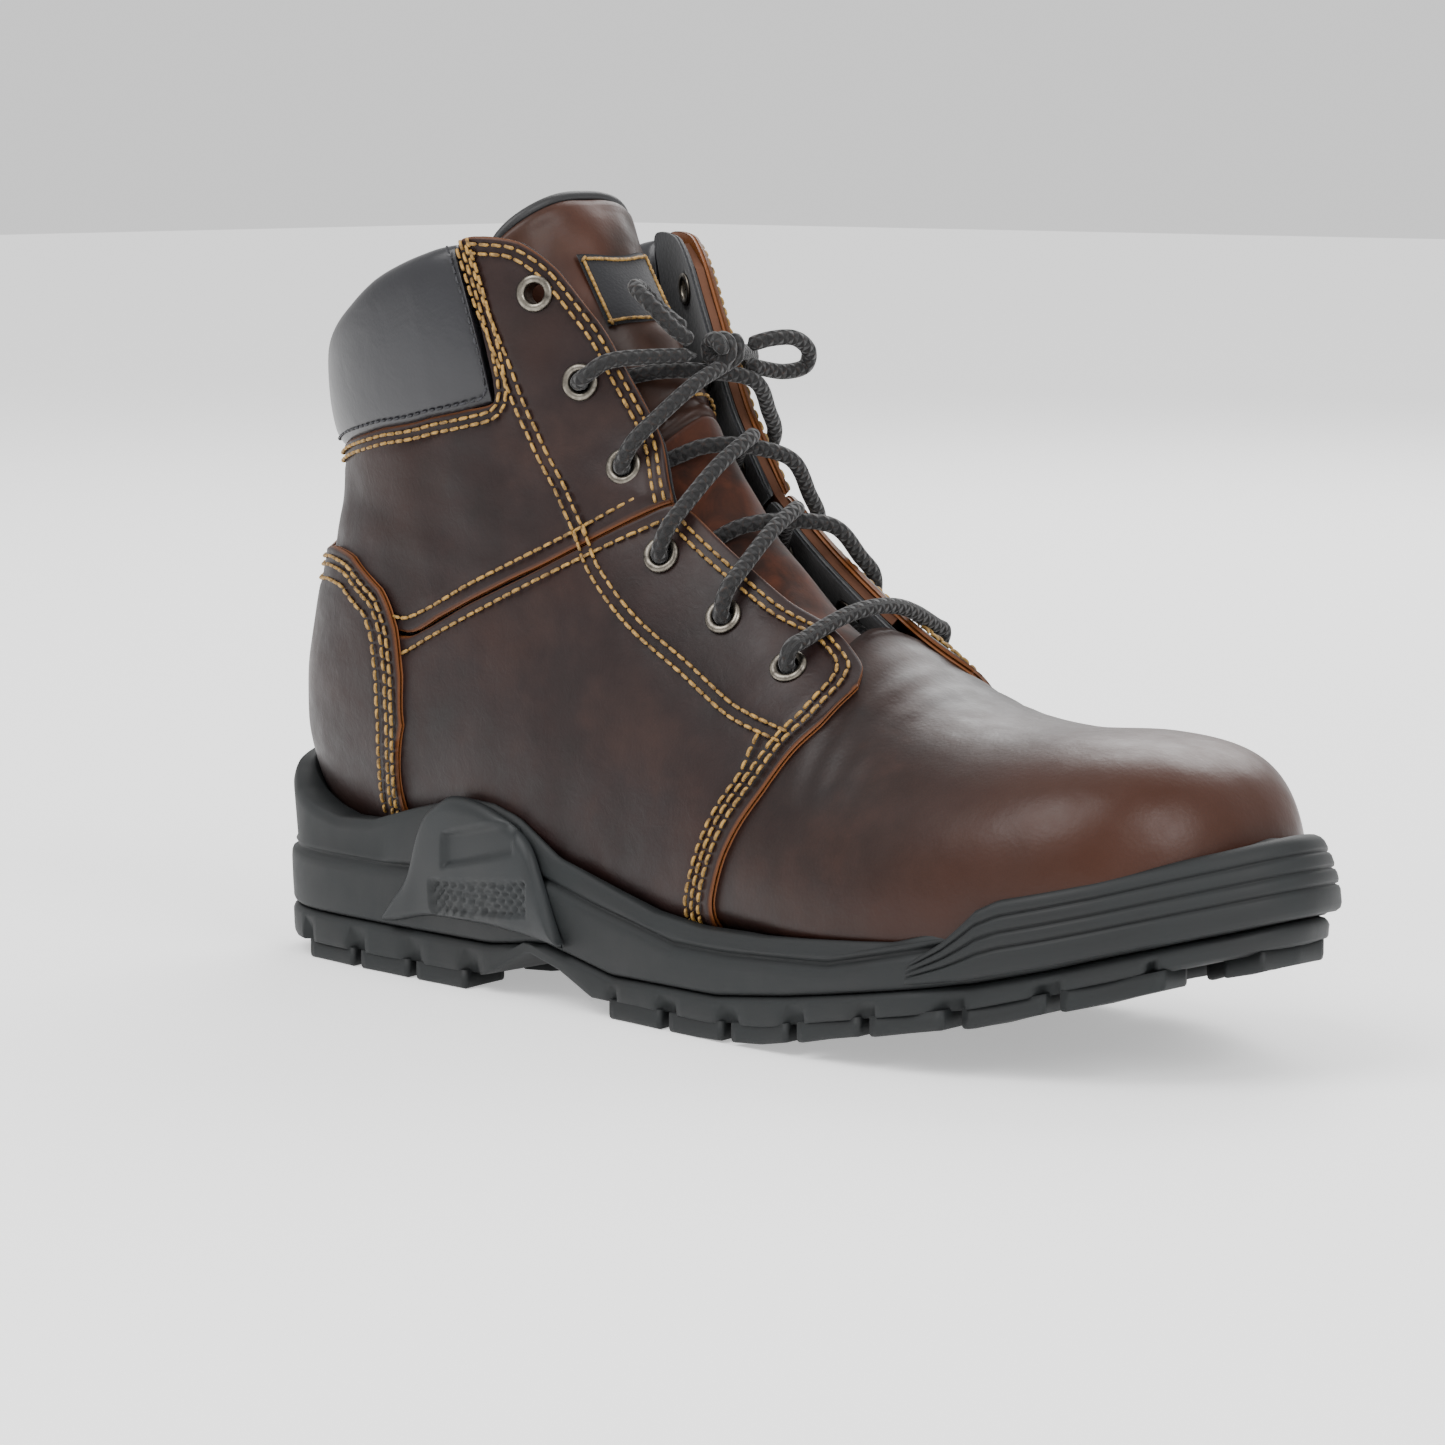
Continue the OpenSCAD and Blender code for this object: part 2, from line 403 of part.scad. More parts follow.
// Tread blocks under the plate, each a prism between the ground line and the plate.
module block(corners) {
    n = len(corners);
    p = [for (c = corners) [c[0] * kx, c[1] * ky]];
    low = [for (c = p) [c[0], c[1], height(GROUND, c[0])]];
    high = [for (c = p) [c[0], c[1], height(GROUND, c[0]) + tread_depth - eps]];
    tube([low, high]);
}
function side_y(x, side) =
    side < 0 ? -lookup(x, [for (q = SOLE) [q[0], q[1]]]) : lookup(x, [for (q = SOLE) [q[0], q[2]]]);
module side_block(x0, x1, w, side) {
    block([[x0, side_y(x0, side) - side * 3.2], [x1, side_y(x1, side) - side * 3.2],
        [x1 - 2, side_y(x1, side) - side * (3.2 + w)], [x0 + 2, side_y(x0, side) - side * (3.2 + w)]]);
}
module centre_block(x, w, y) {
    block([[x + 4, y], [x, y - w], [x + 7, y - w * 0.8], [x + 12, y], [x + 7, y + w * 0.8], [x, y + w]]);
}
module tread_forefoot() {
    color("#1c1f20") {
        for (x = [-14:22:118], side = [-1, 1]) side_block(x, x + 17, x > 90 ? 11 : 15, side);
        for (x = [-12:22:98]) centre_block(x, 13, 3);
        block([[140, -13], [149, -11], [150.5, 0], [149, 11], [140, 13], [137, 0]]);
    }
}
module tread_heel() {
    color("#1c1f20") {
        for (x = [-130:22:-70], side = [-1, 1]) side_block(x, x + 17, 13, side);
        for (x = [-122:22:-78]) centre_block(x, 11, 0);
        block([[-138, 0], [-136, 12], [-144, 14], [-151, 10],
            [-152.5, 0], [-151, -10], [-144, -14], [-136, -12]]);
    }
}

// Rubber bumper moulded round the toe over the wall of the sole, with raised ribs.
bumper_from = ceil(half_ring * 0.735);
RIBS = [[0, 0.7], [0.12, 1], [0.38, 1], [0.44, 0.55], [0.5, 1], [0.7, 1], [0.76, 0.55], [0.82, 1],
    [0.97, 0.9], [1, 0.4]];
function bumper_ring(i) =
    let (x = plan_ring[i][0], lo = height(LOW_GROOVE, x) + 1.2, hi = height(RIM, x) + 1.2,
        end = zone(x / kx, 92, 100))
    concat([for (w = RIBS)
        let (p = inset(i, bumper_t * (1 - w[1]) + (1 - end) * 0.1 + lean(i) * w[0] * w[0]))
            [p[0], p[1], lo + (hi - lo) * w[0]]],
        [for (w = [1, 0.5, 0])
            let (p = inset(i, bumper_t + lean(i) * w * w)) [p[0], p[1], lo + (hi - lo) * w]]);
module toe_bumper() {
    color("#26292b") tube([for (i = [bumper_from:2 * half_ring - bumper_from]) bumper_ring(i)]);
}

// Stabiliser moulded over the wall at the arch, one wing on each side.
SADDLE = [[-97, 13.5, 15], [-93, 14, 20], [-87, 15.5, 27], [-82, 16.5, 40], [-76, 17, 45], [-70, 17, 47],
    [-60, 17, 46], [-50, 16.5, 42.5], [-43, 16, 38], [-38, 15.5, 29], [-33, 15, 19], [-31, 14.6, 16]];
function saddle_ring(q, side) =
    [for (w = [[0, 0.3], [0.1, 1.9], [0.5, 2.2], [0.88, 1.9], [1, 0.5], [1, 0.12], [0.5, 0.12], [0, 0.12]])
        let (x = q[0] * kx, y = side_y(q[0], side) * ky)
        [x, y + side * w[1], kz * (q[1] + (q[2] - q[1]) * w[0])]];
module arch_saddle() {
    color("#303437") {
        for (side = [-1, 1]) tube([for (q = SADDLE) saddle_ring(q, side)]);
    }
}

module shank() {
    color("#8e9296") stack([for (z = [-0.3, 1.1]) [for (i = [0:39])
        let (k = i <= 20 ? i : 40 - i, x = -95 + 115 * k / 20,
            y = 9 * pow(max(1 - pow(abs(k - 10) / 10, 6), 0), 0.5))
        [x * kx, i <= 20 ? -y : y, height(FOOTING, x * kx) + z]]]);
}

module insole_board() {
    color("#8a6a45") stack([board_ring(board_z, 4.4), board_ring(board_z + board_t, 4.4)]);
}

function bed_rise(x) = 3.5 * (1 - zone(x, -60, 30)) * zone(x, -150, -90);
function bed_ring(z, extra, k) = [for (i = [0:m_ring - 1])
    let (x = plan_ring[i][0] / kx, p = inset(i, low_edge[i] + extra + 1.6 * zone(x, 60, 90)))
    [p[0], p[1], height(FOOTING, p[0]) + z + k * bed_rise(x)]];
module footbed() {
    color("#3a3633") stack([bed_ring(foot_z + 0.2, 7.2, 0), bed_ring(foot_z + footbed_t - 1.5, 6.6, 1),
        bed_ring(foot_z + footbed_t, 8, 1), bed_ring(foot_z + footbed_t - 0.8, 15, 0.4)]);
}

// ---- upper ---------------------------------------------------------------------------------------
module vamp() {
    color("#4a2f27") sheet(over_toe(rear_edge(VAMP_REAR), toe_seam, 13, vamp_in, 0), true);
}
module steel_toe_cap() {
    color("#9a9c9f") sheet(over_toe(even_edge(cap_end), toe_seam, 8, cap_in, cap_out), true);
}
module cap_edge_strip() {
    color("#3c3a38") sheet(over_toe(even_edge(strip_end), cap_end + 0.04, 1, cap_in, cap_out));
}
module toe_lining() {
    color("#6b5a4a")
        sheet(over_toe(even_edge(strip_end - 0.02), toe_seam, 7, cap_in - 1.3, cap_in - gap), true);
}
module vamp_lining() {
    color("#6b5a4a") sheet(over_toe(rear_edge(THROAT), strip_end + 0.04, 6, lining_in, lining_out));
}
module panel(low, high, n, side, lo, hi) {
    difference() {
        grid = between(one_side(low, high, n, side, hi < 0 ? inner_back : outer_back), lo, hi);
        sheet(reversed([for (r = grid) reversed(r)]));
        eyelet_holes(side);
    }
}
module quarter_lateral() {
    color("#452c26") panel(QUARTER_LOW, QUARTER_HIGH, 7, -1, quarter_in, quarter_out);
}
module quarter_medial() {
    color("#452c26") panel(QUARTER_LOW, QUARTER_HIGH, 7, 1, quarter_in, quarter_out);
}
module shaft_lateral() {
    color("#432b26") panel(SHAFT_LOW, SHAFT_HIGH, 6, -1, quarter_in, quarter_out);
}
module shaft_medial() {
    color("#432b26") panel(SHAFT_LOW, SHAFT_HIGH, 6, 1, quarter_in, quarter_out);
}
module facing_stay_lateral() {
    color("#b5763a") panel(STAY_FRONT, STAY_REAR, 3, -1, stay_in, 0);
}
module facing_stay_medial() {
    color("#b5763a") panel(STAY_FRONT, STAY_REAR, 3, 1, stay_in, 0);
}
module quarter_lining() {
    color("#2a2b33") {
        panel(QUARTER_LOW, QUARTER_HIGH, 6, -1, lining_in, lining_out);
        panel(QUARTER_LOW, QUARTER_HIGH, 6, 1, lining_in, lining_out);
    }
}
module shaft_lining() {
    color("#23242b") {
        panel(SHAFT_LOW, SHAFT_HIGH, 6, -1, lining_in, lining_out);
        panel(SHAFT_LOW, SHAFT_HIGH, 6, 1, lining_in, lining_out);
    }
}
module counter_cover() {
    color("#472e27") sheet(between(round_heel(rows(COVER_LOW, COVER_HIGH, 5)), cover_in, cover_out));
}
module heel_counter() {
    color("#b9ad97") sheet(between(round_heel(rows(COUNTER_LOW, COUNTER_HIGH, 8)), stay_in, 0));
}

// Padded collar: a closed section that swells outwards, rolls over the topline and ends inside.
COLLAR_SECTION = [[0, 0], [0.05, 0.45], [0.18, 0.8], [0.45, 1], [0.75, 0.95], [0.93, 0.7], [1, 0.15],
    [1, -0.9], [0.93, -1.45], [0.7, -1.75], [0.4, -1.7], [0.12, -1.35], [0, -0.85]];
function collar_ring(a, b, w) = [for (q = COLLAR_SECTION)
    skin(a[0] + (b[0] - a[0]) * q[0], a[1] + (b[1] - a[1]) * q[0], 0.2 + w * collar_swell * q[1])];
collar_rows = round_heel(rows(COLLAR_LOW, COLLAR_HIGH, 1));
module collar_pad() {
    n = len(collar_rows) - 1;
    color("#2e2e33") tube([for (i = [0:n]) collar_ring(collar_rows[i][0], collar_rows[i][1],
        0.55 + 0.45 * clamp(min(i, n - i) / 3, 0, 1))]);
}

// ---- tongue --------------------------------------------------------------------------------------
// The tongue lies under the facings and leans away from them towards its top.
tongue_lean = 15;
tie_sec = 14.1;
tongue_end = 18.5;
function tongue_off(s, a, extra) =
    tongue_out - tongue_lean * pow(zone(s, 12.5, 19.4), 1.3) * pow(max(sin(a), 0), 1.4) + extra;
TONGUE_EDGE = [[7.6, 50], [9, 43], [12, 32], [14, 25], [16, 19], [17.5, 16], [18.6, 20]];
function tongue_edge(s) = lookup(s, TONGUE_EDGE);
function tongue_grid(s0, s1, ni, nj, lo, hi, round) = [for (i = [0:ni])
    let (s = s0 + (s1 - s0) * i / ni, e = tongue_edge(s))
    [for (j = [0:nj]) let (a = e + (180 - 2 * e) * j / nj,
        t = s - (round ? 0.55 * pow(i / ni, 3) * pow(abs(a - 90) / 60, 2.4) : 0))
        [t, a, tongue_off(t, a, lo), tongue_off(t, a, hi)]]];
module tongue_lower() {
    color("#5a3322") sheet(tongue_grid(7.75, 11.9, 6, 12, -2.4, 0, false));
}
module tongue_middle() {
    color("#4a2f27") sheet(tongue_grid(11.96, tie_sec, 4, 12, -4.6, 0, false));
}
module tongue_top() {
    color("#4a2f27") sheet(tongue_grid(tie_sec + 0.1, tongue_end, 9, 12, -4.6, 0, true));
}
module tongue_lining() {
    color("#23242b") sheet(tongue_grid(tie_sec + 0.1, tongue_end - 0.1, 8, 12, -6, -4.75, true));
}
module tongue_lining_fixed() {
    color("#23242b") sheet(tongue_grid(7.9, tie_sec, 8, 12, -6, -4.75, false));
}
module tongue_patch() {
    color("#17181b") sheet([for (i = [0:5]) [for (j = [0:6])
        let (s = 15.5 + 1.75 * i / 5, a = 90 + 34 * (j / 3 - 1))
        [s, a, tongue_off(s, a, 0.15), tongue_off(s, a, 1.1)]]]);
}
// Piping round the free edge of the tongue.
top_grid = tongue_grid(tie_sec + 0.1, tongue_end, 9, 12, -4.6, 0, true);
rim_entries = concat([for (i = [0:8]) [top_grid[i][0][0], top_grid[i][0][1] - 4.2, top_grid[i][0][2] + 2]],
    [for (e = top_grid[9]) [e[0] + 0.24, e[1] + (e[1] < 50 ? -3 : e[1] > 130 ? 3 : 0), e[2] + 2]],
    [for (i = [8:-1:0]) [top_grid[i][12][0], top_grid[i][12][1] + 4.2, top_grid[i][12][2] + 2]]);
module tongue_binding() {
    color("#18181b") tube(rings_on([for (e = rim_entries) skin(e[0], e[1], e[2])], 1.2, 8));
}
// Folds of thin leather that close the gap between the tongue and the lining.
module gusset(side) {
    g = [for (i = [0:7]) let (s = 8.6 + 4.9 * i / 7, e = tongue_edge(s)) [for (j = [0:3])
        let (a = e - 3 - 15 * j / 3) [s, side < 0 ? a : 180 - a, tongue_out + 1.2, tongue_out + 2]]];
    sheet(g);
}
module gusset_lateral() {
    color("#1c1c20") gusset(-1);
}
module gusset_medial() {
    color("#1c1c20") gusset(1);
}

module eyelets() {
    r0 = eyelet_hole / 2;
    r1 = r0 + 0.4;
    flange = eyelet_d / 2;
    color("#7d7a72") {
        for (k = [0:5], side = [-1, 1]) {
            on_skin(eye(k, side)) rotate_extrude($fn = 32) polygon([
                [r0, eye_bottom], [r0 + 1.6, eye_bottom],
                [r0 + 1.6, lining_in - eps * 2], [r1, lining_in - eps * 2], [r1, quarter_out + eps * 2],
                [flange, quarter_out + eps * 2], [flange - 0.2, quarter_out + 0.6],
                [(flange + r0) / 2, eye_top], [r0 + 0.2, eye_top - 0.2], [r0, eye_top - 0.6]]);
        }
    }
}

// ---- lace ----------------------------------------------------------------------------------------
module lace() {
    color("#2b2523") tube(rings_on(smooth(lace_path, 2), lace_d / 2, 8));
}
module lace_knot() {
    color("#2b2523") translate(knot_at) rotate([-90, 0, 0]) rotate_extrude($fn = 24)
        polygon([[0, -knot_r], [3.2, -knot_r], [4.6, -2.6], [3.8, 0],
            [4.6, 2.6], [3.2, knot_r], [0, knot_r]]);
}
module bow_loop_up() {
    color("#2b2523") tube(rings_on(smooth(placed(LOOP_UP), 2), lace_d / 2, 8));
}
module bow_loop_down() {
    color("#2b2523") tube(rings_on(smooth(placed(LOOP_DOWN), 2), lace_d / 2, 8));
}

outsole();
tread_forefoot();
tread_heel();
midsole();
toe_bumper();
arch_saddle();
shank();
insole_board();
footbed();
vamp();
steel_toe_cap();
cap_edge_strip();
toe_lining();
vamp_lining();
quarter_lateral();
quarter_medial();
shaft_lateral();
shaft_medial();
facing_stay_lateral();
facing_stay_medial();
quarter_lining();
shaft_lining();
counter_cover();
heel_counter();
collar_pad();
tongue_lower();
tongue_middle();
tongue_top();
tongue_lining();
tongue_lining_fixed();
tongue_patch();
tongue_binding();
gusset_lateral();
gusset_medial();
eyelets();
lace();
lace_knot();
bow_loop_up();
bow_loop_down();
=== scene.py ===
"""Looks of a steel toe work boot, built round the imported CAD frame.

Every piece is modelled in millimetres on the surface of the last, the same surface that the
solids follow, and turned to metres when its mesh is made.
"""

import logging
import math
from dataclasses import dataclass
from enum import Enum
from typing import Callable, Optional, Sequence

import bpy
import numpy as np
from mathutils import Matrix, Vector
from mathutils.kdtree import KDTree


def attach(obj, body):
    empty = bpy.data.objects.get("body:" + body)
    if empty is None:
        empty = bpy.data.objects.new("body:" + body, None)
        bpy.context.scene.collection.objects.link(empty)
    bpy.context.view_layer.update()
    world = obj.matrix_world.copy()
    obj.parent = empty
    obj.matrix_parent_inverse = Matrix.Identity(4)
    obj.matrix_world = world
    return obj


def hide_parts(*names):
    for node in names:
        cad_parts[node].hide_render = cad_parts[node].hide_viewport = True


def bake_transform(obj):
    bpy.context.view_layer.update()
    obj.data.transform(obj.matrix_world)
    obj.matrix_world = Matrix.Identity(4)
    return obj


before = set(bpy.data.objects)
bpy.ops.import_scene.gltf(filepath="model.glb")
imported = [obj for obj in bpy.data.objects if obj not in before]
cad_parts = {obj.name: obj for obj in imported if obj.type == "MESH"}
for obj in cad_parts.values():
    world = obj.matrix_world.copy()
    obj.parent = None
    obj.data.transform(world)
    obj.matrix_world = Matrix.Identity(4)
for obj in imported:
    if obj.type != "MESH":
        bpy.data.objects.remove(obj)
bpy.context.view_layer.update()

log = logging.getLogger("boot")
MM = 0.001
BOOT, FLAP, BED = "boot", "tongue_flap", "footbed"

Points = np.ndarray


class Side(Enum):
    """Side of the boot: lateral is -Y, medial is +Y."""

    LATERAL = -1
    MEDIAL = 1


# ------------------------------------------------------------------ the last
SECTIONS = np.array([
    [142, 46, 142, 36, 0, 0, 2.4, 2.6, 0.72],
    [139.5, 57, 139.5, 30, 17, 15, 2.4, 2.6, 0.72],
    [133, 66, 133, 27, 29, 26, 2.5, 2.6, 0.72],
    [122, 71.5, 122, 25, 39, 36, 2.6, 2.6, 0.72],
    [105, 73.5, 105, 22, 46.5, 42.5, 2.5, 2.6, 0.74],
    [82, 72.5, 80, 19, 50.5, 45, 2.4, 2.6, 0.76],
    [62, 75.5, 55, 18, 50.6, 45.1, 2.2, 2.6, 0.78],
    [43, 83.6, 30, 18, 47.8, 42.5, 2.1, 2.6, 0.78],
    [24.6, 95.2, 5, 18, 43.8, 39, 2.0, 2.6, 0.78],
    [9, 108.2, -25, 19, 40, 36.2, 1.95, 2.6, 0.75],
    [-4, 121.2, -60, 21, 38, 35.2, 1.95, 2.5, 0.7],
    [-13, 133.2, -100, 24, 36.5, 35, 2.0, 2.4, 0.62],
    [-19, 143.2, -134.6, 33, 35, 34.5, 2.0, 2.3, 0.56],
    [-23, 150.2, -147.6, 50.5, 34.5, 34.5, 2.05, 2.25, 0.53],
    [-26, 156.2, -147.6, 72, 34, 34, 2.1, 2.2, 0.52],
    [-30, 163.2, -141, 95, 34, 34, 2.1, 2.2, 0.5],
    [-34, 170.2, -136, 115, 35, 35, 2.1, 2.2, 0.5],
    [-39, 180.2, -135, 137, 36.5, 36.5, 2.1, 2.2, 0.5],
    [-44, 191.2, -137, 160, 38, 38, 2.1, 2.2, 0.5],
    [-48, 202.2, -138, 173, 39, 39, 2.1, 2.2, 0.5]], float)


def spline(rows: Points, u: Points) -> Points:
    """Catmull-Rom curve through rows.

    Args:
        rows: control rows, with one ghost row before the first and one after the last.
        u: places along the curve, 0 at the first real row.

    Returns:
        The interpolated rows.
    """
    n = len(rows) - 3
    i = np.clip(np.floor(u).astype(int), 0, n - 1)
    t = (u - i)[..., None]
    p, q, r, s = rows[i], rows[i + 1], rows[i + 2], rows[i + 3]
    return 0.5 * (2 * q + (r - p) * t + (2 * p - 5 * q + 4 * r - s) * t ** 2 + (3 * q - p - 3 * r + s) * t ** 3)


def unit(v: Points) -> Points:
    """Vectors scaled to length one."""
    return v / np.maximum(np.linalg.norm(v, axis=-1, keepdims=True), 1e-9)


class Last:
    """The surface that the upper is built on, in sections from the toe to the top of the shaft."""

    def __init__(self) -> None:
        toe = SECTIONS[1].copy()
        toe[4:6] *= -1
        self.rows = np.vstack([toe, SECTIONS, 2 * SECTIONS[-1] - SECTIONS[-2]])
        self.top = len(SECTIONS) - 1

    def section(self, s: Points) -> Points:
        """Values of the section at s."""
        return spline(self.rows, np.asarray(s, float))

    def base(self, s: Points, a: Points) -> Points:
        """Points of the last.

        Args:
            s: section, 0 at the toe.
            a: angle in degrees: -90 under the sole or heel, 0 lateral, 90 ridge, 180 medial.

        Returns:
            Points in millimetres.
        """
        q = self.section(s)
        sn, cs = np.sin(np.radians(a)), np.cos(np.radians(a))
        n = np.where(sn >= 0, q[..., 6], q[..., 7])
        wide = q[..., 8]
        bow = np.abs(sn) ** (2 / n)
        f = np.where(sn >= 0, wide * (1 - bow), wide + (1 - wide) * bow)
        c = np.abs(cs) ** (2 / n)
        y = np.where(cs >= 0, -q[..., 4], q[..., 5]) * c
        x = q[..., 0] + (q[..., 2] - q[..., 0]) * f
        z = q[..., 1] + (q[..., 3] - q[..., 1]) * f
        return np.stack([x, y, z], -1)

    def normal(self, s: Points, a: Points) -> Points:
        """Outward normals of the last."""
        s, a = np.asarray(s, float), np.asarray(a, float)
        return unit(np.cross(self.base(s, a + 1.5) - self.base(s, a - 1.5),
                             self.base(s + 0.06, a) - self.base(s - 0.06, a)))

    def skin(self, s: Points, a: Points, off: Points) -> Points:
        """Points at a distance off outside the last."""
        return self.base(s, a) + np.asarray(off)[..., None] * self.normal(s, a)

    def locate(self, xz: Sequence[Sequence[float]]) -> Points:
        """Section and lateral angle of points given in side view."""
        p = np.asarray(xz, float)
        lo, hi = np.zeros(len(p)), np.full(len(p), self.top + 0.3)
        for _ in range(18):
            mid = (lo + hi) / 2
            q = self.section(mid)
            ahead = (q[:, 2] - q[:, 0]) * (p[:, 1] - q[:, 1]) - (q[:, 3] - q[:, 1]) * (p[:, 0] - q[:, 0]) > 0
            hi, lo = np.where(ahead, mid, hi), np.where(ahead, lo, mid)
        q = self.section((lo + hi) / 2)
        dx, dz = q[:, 2] - q[:, 0], q[:, 3] - q[:, 1]
        f = np.clip(((p[:, 0] - q[:, 0]) * dx + (p[:, 1] - q[:, 1]) * dz) / (dx ** 2 + dz ** 2), 0, 1)
        m = q[:, 8]
        up = np.degrees(np.arcsin(np.clip((m - f) / m, 0, 1) ** (q[:, 6] / 2)))
        down = -np.degrees(np.arcsin(np.clip((f - m) / (1 - m), 0, 1) ** (q[:, 7] / 2)))
        return np.stack([(lo + hi) / 2, np.where(f < m, up, down)], -1)


LAST = Last()


def on_side(sa: Points, side: Side) -> Points:
    """Lateral places turned to the side asked for."""
    if side is Side.LATERAL:
        return sa
    out = np.array(sa, float)
    out[..., 1] = 180 - out[..., 1]
    return out


# ------------------------------------------------------------------ layers, in millimetres
LEATHER, GAP, LINING, LACE_D = 1.85, 0.15, 1.6, 3.8
VAMP_IN = -LEATHER - GAP
QUARTER_IN, QUARTER_OUT = GAP, GAP + LEATHER
COVER_IN = QUARTER_OUT + GAP
COVER_OUT = COVER_IN + LEATHER
LINING_OUT = VAMP_IN - 0.2
LINING_IN = LINING_OUT - LINING
TONGUE_OUT = LINING_IN - LACE_D - 0.6
EYE_TOP = QUARTER_OUT + 1.1
UNDER = LINING_IN - LACE_D / 2 - 0.25
OVER = QUARTER_OUT + LACE_D / 2 + 0.5

# Edges of the pattern pieces in side view, from the front to the back.
QUARTER_LOW = [[41, 78], [39.8, 72], [36.4, 66.5], [31.8, 57.4], [25, 46.8], [20.3, 35], [17, 22.5], [0, 23],
               [-18, 25.5], [-36, 30], [-54, 38], [-72, 41], [-90, 36.5], [-108, 32.5], [-126, 35], [-154, 44]]
QUARTER_HIGH = [[41, 79.5], [38, 83.2], [32, 87.3], [25, 91.7], [14.7, 97], [0, 106.6], [-12.8, 116.2],
                [-18, 118.2], [-24.3, 115], [-36.8, 108.4], [-51, 101.4], [-70, 93.1], [-90.7, 83.7],
                [-108, 86], [-126, 89], [-155, 91]]
SHAFT_LOW = [[-18.2, 119.4], [-19.5, 118.9], [-22, 117.7], [-26, 115.6], [-31, 112.9], [-35, 110.8],
             [-39, 108.7], [-42, 107.2], [-45, 105.7], [-48.5, 104], [-52, 102.5], [-57, 100.4],
             [-69.8, 94.7], [-80, 90], [-90.5, 85.3], [-108, 87.6], [-126, 90.6], [-155, 92.6]]
SHAFT_HIGH = [[-18.8, 120.5], [-24.8, 133.4], [-32, 145], [-41.8, 161.3], [-50.7, 173], [-59, 179.5],
              [-69, 180.8], [-72.8, 178.8], [-69.6, 168], [-66.8, 158], [-64.6, 148], [-64.8, 141.4],
              [-73.5, 139.2], [-86, 136.6], [-100.6, 134], [-116, 130.6], [-130, 127.5], [-155, 125]]
COLLAR_LOW = [[-65.4, 142.4], [-67.5, 141.8], [-73.5, 140], [-86, 137.4], [-100.6, 134.8], [-116, 131.4],
              [-130, 128.3], [-155, 125.8]]
COLLAR_HIGH = [[-73.8, 178.4], [-75.5, 178.2], [-80, 177.3], [-89, 174.5], [-99, 170.5], [-112, 163],
               [-128, 154.5], [-155, 150]]
COVER_LOW = [[-95.6, 37.5], [-98, 37], [-101, 36.4], [-105, 35.6], [-111, 35], [-120, 35.6], [-131, 38],
             [-154, 45]]
COVER_HIGH = [[-92.2, 62], [-92.6, 74], [-94.6, 85.5], [-100.3, 94.7], [-111.5, 101.5], [-123, 103],
              [-135, 102], [-155, 100.5]]
VAMP_REAR = [[9, 23.5], [11, 35], [16, 46.5], [22.5, 57], [27, 66], [30, 75], [31, 84], [29, 92], [29.5, 93.4]]
EYELETS = [[-54.5, 167.4], [-43.5, 146.5], [-31, 126.6], [-16.6, 106.6], [3.5, 93.2], [24.5, 82.8]]


# ------------------------------------------------------------------ finishes
def linear(code: str) -> tuple[float, float, float, float]:
    """An sRGB hex colour as linear RGBA."""
    parts = [int(code[i:i + 2], 16) / 255 for i in (1, 3, 5)]
    r, g, b = [c / 12.92 if c <= 0.04045 else ((c + 0.055) / 1.055) ** 2.4 for c in parts]
    return r, g, b, 1.0


def add(tree: bpy.types.NodeTree, kind: str, inputs: Optional[dict] = None, **settings) -> bpy.types.Node:
    """Adds a node.

    Args:
        tree: node tree that gets it.
        kind: the node's Blender type.
        inputs: socket name or number to a value, or to an output socket that feeds it.
        settings: the node's own properties.

    Returns:
        The node.
    """
    node = tree.nodes.new(kind)
    for key, value in settings.items():
        setattr(node, key, value)
    for key, value in (inputs or {}).items():
        if isinstance(value, bpy.types.NodeSocket):
            tree.links.new(value, node.inputs[key])
        else:
            node.inputs[key].default_value = value
    return node


def maths(tree: bpy.types.NodeTree, operation: str, *values) -> bpy.types.NodeSocket:
    """Output of a math node."""
    return add(tree, "ShaderNodeMath", dict(enumerate(values)), operation=operation).outputs[0]


def ramp(tree: bpy.types.NodeTree, factor: bpy.types.NodeSocket, stops: Sequence[tuple[float, str]]):
    """Colour output of a ramp with sRGB hex stops."""
    node = add(tree, "ShaderNodeValToRGB", {0: factor})
    while len(node.color_ramp.elements) < len(stops):
        node.color_ramp.elements.new(0.5)
    for element, (place, code) in zip(node.color_ramp.elements, stops):
        element.position, element.color = place, linear(code)
    return node.outputs[0]


def noise(tree, vector, size_mm: float, detail: float = 3, rough: float = 0.5, distort: float = 0.0):
    """Factor output of a noise whose features are size_mm across."""
    node = add(tree, "ShaderNodeTexNoise", {"Vector": vector, "Scale": 1 / (size_mm * MM), "Detail": detail,
                                            "Roughness": rough, "Distortion": distort})
    return node.outputs[0]


def span(tree, value, a: float, b: float, lo: float = 0.0, hi: float = 1.0):
    """Value mapped from a..b to lo..hi and clamped."""
    return add(tree, "ShaderNodeMapRange", {0: value, 1: a, 2: b, 3: lo, 4: hi}, clamp=True).outputs[0]


